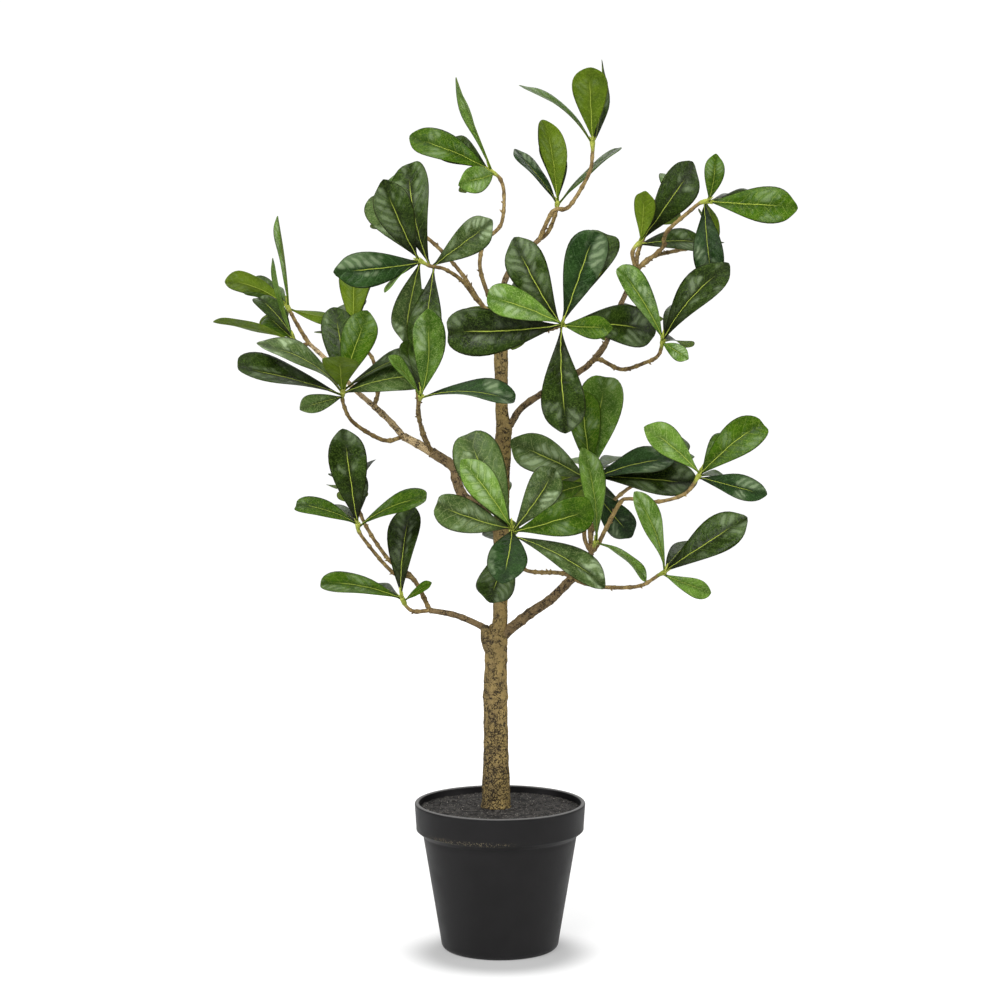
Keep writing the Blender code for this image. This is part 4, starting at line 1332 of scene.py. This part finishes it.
def pot_material():
    """Black satin plastic: faint clouds, fine pimples, a painted grey highlight round the lip and pale specks
    under the band at the front left.
    """
    made, tree, shader, spot = new_material("pot_plastic", Specular_IOR_Level=0.25)
    clouds = cloudy(tree, spot, 30.0)
    grain = specks(tree, spot, 0.9, 0.6, 0.04)
    parts = split(tree, spot)
    edge = reckon(tree, "ABSOLUTE", reckon(tree, "SUBTRACT", parts["Z"], (POT_HEIGHT - BAND_HEIGHT) * MM))
    on_ledge = fade(tree, edge, 0.8 * MM, 3.5 * MM, 1.0, 0.0)
    # pale brown specks on the ledge under the band, kept to the front left
    at_front = times(tree, fade(tree, parts["Y"], *SPECKLED_FRONT), fade(tree, parts["X"], *SPECKLED_LEFT))
    front_ledge_specks = times(tree, grain["Dots"], on_ledge, at_front)
    # painted highlight: a thin pale grey line round the lip stands in for light caught on its rounded edge
    painted_lip_highlight = fade(tree, parts["Z"], (POT_HEIGHT - 1.0) * MM, (POT_HEIGHT - 0.3) * MM)
    plastic = mix(tree, clouds, colour("#0d0c0d"), colour("#121112"))
    plastic = mix(tree, times(tree, painted_lip_highlight, 0.85), plastic, colour("#636261"))
    tree.links.new(mix(tree, times(tree, front_ledge_specks, 0.85), plastic, colour("#8f8468")), shader["Base Color"])
    gloss = times_plus(tree, grain["Grain"], 0.1, times_plus(tree, clouds, 0.08, 0.36))
    tree.links.new(gloss, shader["Roughness"])
    raise_bumps(tree, shader, grain["Grain"], 0.12, 0.2)
    return made


make_piece("pot_shell", pot_shape, [pot_material()], ["pot"])

# %% [markdown]
# ## The filling
# Dark grit is set in the top of the pot, a few millimetres under the rim. A smooth disc would give
# it away, so its top is a turned surface with uneven heights, and small flat-sided stones lie half
# sunk in it. The stones are one array: the same coarse ball, stretched and turned for each place.

# %% Filling
FILL_RADIUS = RIM_RADIUS - LIP - 0.2
FILL_TOP = 143.8
FILL_CROWN = 0.8
FILL_DEPTH = 9.0
FILL_ROWS = 64
FILL_COLUMNS = 220
FINE_GRIT = (1.5, 2.1)  # height and size
COARSE_GRIT = (0.9, 5.5)
STONES = 700
STONE_SIZE = (0.5, 1.5)
STONE_SHAKE = 0.16
STONE_LATITUDES = (-70, -20, 25, 72)
STONE_SIDES = 6


def crowned(reach):
    """The height of the filling's top at a share of its radius: top + crown (1 - 2 reach^2)."""
    return FILL_TOP + FILL_CROWN * (1 - 2 * reach**2)


def filling_shape():
    """A shallow plug: a turned profile, with grit added to the height of every point but the foot's."""
    reach = np.linspace(0.01, 1, FILL_ROWS)
    top = np.stack((FILL_RADIUS * reach, crowned(reach)), axis=1)
    low = FILL_TOP - FILL_DEPTH
    foot = np.array(((FILL_RADIUS, low), (POLE_RADIUS, low)))
    points = turned(np.concatenate((top, foot))[::-1], FILL_COLUMNS)
    grit = FINE_GRIT[0] * (noise(points / FINE_GRIT[1], 41) - 0.5)
    grit = grit + COARSE_GRIT[0] * (noise(points / COARSE_GRIT[1], 42) - 0.5)
    points[:, 2:, :, 2] += grit[:, 2:]
    # the low places keep how deep they lie, for the painted shade of the finish
    return grid_shape(points, sunk=np.clip(0.5 - grit, 0, 1))


def stone_shapes():
    """Six-sided balls: place + turned (a cos u cos w, b sin u cos w, c sin w), with radii a, b, c."""
    draw = np.random.default_rng(7)
    reach = np.sqrt(draw.uniform(0.045, 0.98, STONES)) * FILL_RADIUS
    where = draw.uniform(0, 2 * np.pi, STONES)
    rise = crowned(reach / FILL_RADIUS) + draw.uniform(-0.3, 0.3, STONES)
    centre = np.stack((reach * np.cos(where) - 0.5, reach * np.sin(where), rise), axis=1)
    sizes = draw.uniform(*STONE_SIZE, (STONES, 1)) * draw.uniform(0.6, 1.1, (STONES, 3)) * (1, 1, 0.7)
    sizes = sizes[:, None, None]
    latitude = np.radians(STONE_LATITUDES)[:, None]
    round_about = np.linspace(0, 2 * np.pi, STONE_SIDES, endpoint=False)
    across, ahead = np.cos(latitude) * np.cos(round_about), np.cos(latitude) * np.sin(round_about)
    ball = np.stack((across, ahead, np.broadcast_to(np.sin(latitude), across.shape)), axis=-1)
    shaken = ball * sizes + STONE_SHAKE * draw.standard_normal((STONES, *ball.shape)) * sizes
    turn = draw.uniform(0, 2 * np.pi, STONES)[:, None, None]
    x = shaken[..., 0] * np.cos(turn) - shaken[..., 1] * np.sin(turn)
    y = shaken[..., 0] * np.sin(turn) + shaken[..., 1] * np.cos(turn)
    points = centre[:, None, None] + np.stack((x, y, shaken[..., 2]), axis=-1)
    return grid_shape(points, sunk=np.zeros(points.shape[:3]))


filling, stones = filling_shape(), stone_shapes()
print("filling:", len(filling["points"]), "points, stones:", STONES)

# %% Filling finish
def grit_material():
    """Charcoal stones and gaps with paler grains here and there, and the low places painted nearly black as
    shade.
    """
    made, tree, shader, spot = new_material("grit", Roughness=0.85, Specular_IOR_Level=0.3)
    dots = specks(tree, spot, 1.6, 0.62)
    paint = mix(tree, cloudy(tree, spot, 2.6), colour("#131211"), colour("#3d3a37"))
    paint = mix(tree, times(tree, dots["Dots"], 0.7), paint, colour("#918b84"))
    # painted shade: the low places between the grit are painted nearly black
    sunk = fade(tree, from_mesh(tree, "sunk"), 0.4, 0.85, 0.0, 0.9)
    tree.links.new(mix(tree, sunk, paint, colour("#0a0909")), shader["Base Color"])
    raise_bumps(tree, shader, dots["Grain"], 0.7, 0.5)
    return made


grit = grit_material()
make_piece("filling_top", filling, [grit], ["fill"])
make_piece("filling_stones", stones, [grit], ["fill"])

# %% [markdown]
# ## Floor and light
# The plant stands in a white studio. Large soft boxes at the front and at both sides leave a broad
# soft sheen on each side of the pot and of the leaves. One above, one behind and a wide skylight
# open the tops of the leaves, and a pale surround fills the rest. The camera sees the floor as
# white paper that glows, with one soft round shade painted under the pot, as in a picture that has
# been cut out and set down again. Every other ray meets plain grey paper, which keeps dark plastic
# dark. The surround is whiter to the camera than to the surfaces for the same reason.

# %% Floor
FLOOR_SIDE = 5.0
PAPER_GREY = 0.66  # to every ray but the camera's
PAPER_SEEN = 0.3  # to the camera, on top of the glow
GLOW_REACH = (0.3, 1.2)  # from the glow round the plant to the full glow further off
GLOW_NEAR = 0.73
POT_FOOT = 0.06
SHADE_REACH = 0.072
SHADE_DEPTH = 0.5
SHADE_FORWARD = 0.022


def grey(value):
    return (value, value, value, 1.0)


def floor_material():
    """Grey paper that glows for the camera, by 1 - depth times near^2 round the pot's foot."""
    made, tree, shader, ground = new_material("white_floor", Roughness=0.9, Specular_IOR_Level=0.1)
    shader["Emission Color"].default_value = grey(1.0)
    to_camera = place(tree, "ShaderNodeLightPath").outputs["Is Camera Ray"]
    shifted = place(tree, "ShaderNodeVectorMath", {0: ground, 1: (0, SHADE_FORWARD, 0)}).outputs["Vector"]
    away = place(tree, "ShaderNodeVectorMath", {0: shifted}, operation="LENGTH").outputs["Value"]
    near = fade(tree, away, POT_FOOT, POT_FOOT + SHADE_REACH, 1.0, 0.0)
    shade = times_plus(tree, times(tree, near, near), -SHADE_DEPTH, 1.0)
    glow = times(tree, shade, fade(tree, away, *GLOW_REACH, GLOW_NEAR, 1.0))
    tree.links.new(times(tree, to_camera, glow), shader["Emission Strength"])
    seen = mix(tree, shade, grey(0.0), grey(PAPER_SEEN))
    tree.links.new(mix(tree, to_camera, grey(PAPER_GREY), seen), shader["Base Color"])
    return made


half = FLOOR_SIDE / 2
floor_corners = [(-half, -half, 0), (half, -half, 0), (half, half, 0), (-half, half, 0)]
floor_mesh = bpy.data.meshes.new("floor")
floor_mesh.from_pydata(floor_corners, [], [(0, 1, 2, 3)])
floor_mesh.materials.append(floor_material())
floor = bpy.data.objects.new("floor", floor_mesh)
bpy.context.scene.collection.objects.link(floor)
print("floor:", FLOOR_SIDE, "m wide")

# %% Surround
SKY_SEEN = 1.05
SKY_AHEAD = (0.55, 0.9)  # how far towards +Y a direction points, from the dim sides to the pale back
SKY_DIM = 0.08
SKY_PALE = 0.45

scene = bpy.context.scene
scene.view_settings.view_transform = "Standard"
scene.world = bpy.data.worlds.new("surround")
scene.world.use_nodes = True
sky = scene.world.node_tree
to_camera = place(sky, "ShaderNodeLightPath").outputs["Is Camera Ray"]
towards = split(sky, place(sky, "ShaderNodeTexCoord").outputs["Generated"])
pale_behind = fade(sky, towards["Y"], *SKY_AHEAD, SKY_DIM, SKY_PALE)
strength = reckon(sky, "MAXIMUM", times(sky, to_camera, SKY_SEEN), pale_behind)
backdrop = sky.nodes["Background"].inputs
backdrop["Color"].default_value = grey(1.0)
sky.links.new(strength, backdrop["Strength"])
print("surround:", SKY_DIM, "to", SKY_PALE)

# %% Soft boxes
SOFT_BOXES = {  # place, the point that it faces, side, watts
    "box_front": ((-0.4, -1.9, 1.9), (0, 0, 0.5), 1.1, 53),
    "box_left": ((-2.2, -1.1, 1.5), (0, 0, 0.5), 1.2, 32),
    "box_right": ((2.2, -1.0, 1.4), (0, 0, 0.5), 1.2, 31),
    "box_above": ((0.0, 0.5, 2.7), (0, 0, 0.4), 1.6, 15),
    "box_back": ((0.3, 2.4, 2.0), (0, 0, 0.5), 1.6, 10),
}
SKYLIGHT_WIDTH = 100  # degrees, as its tilt
SKYLIGHT_TILT = 12


def new_lamp(name, kind, energy):
    """A lamp in the scene, and its own settings."""
    lamp = bpy.data.lights.new(name, kind)
    lamp.energy = energy
    made = bpy.data.objects.new(name, lamp)
    scene.collection.objects.link(made)
    return made, lamp


for name, (stands_at, aim, side, watts) in SOFT_BOXES.items():
    box, lamp = new_lamp(name, "AREA", watts)
    lamp.size = side
    way = unit(np.subtract(aim, stands_at))
    box.location = stands_at
    box.rotation_euler = (math.acos(-way[2]), 0, math.atan2(way[0], -way[1]) + math.pi)
skylight, lamp = new_lamp("skylight", "SUN", 1.0)
lamp.angle = math.radians(SKYLIGHT_WIDTH)
skylight.rotation_euler = (math.radians(SKYLIGHT_TILT), 0, 0)
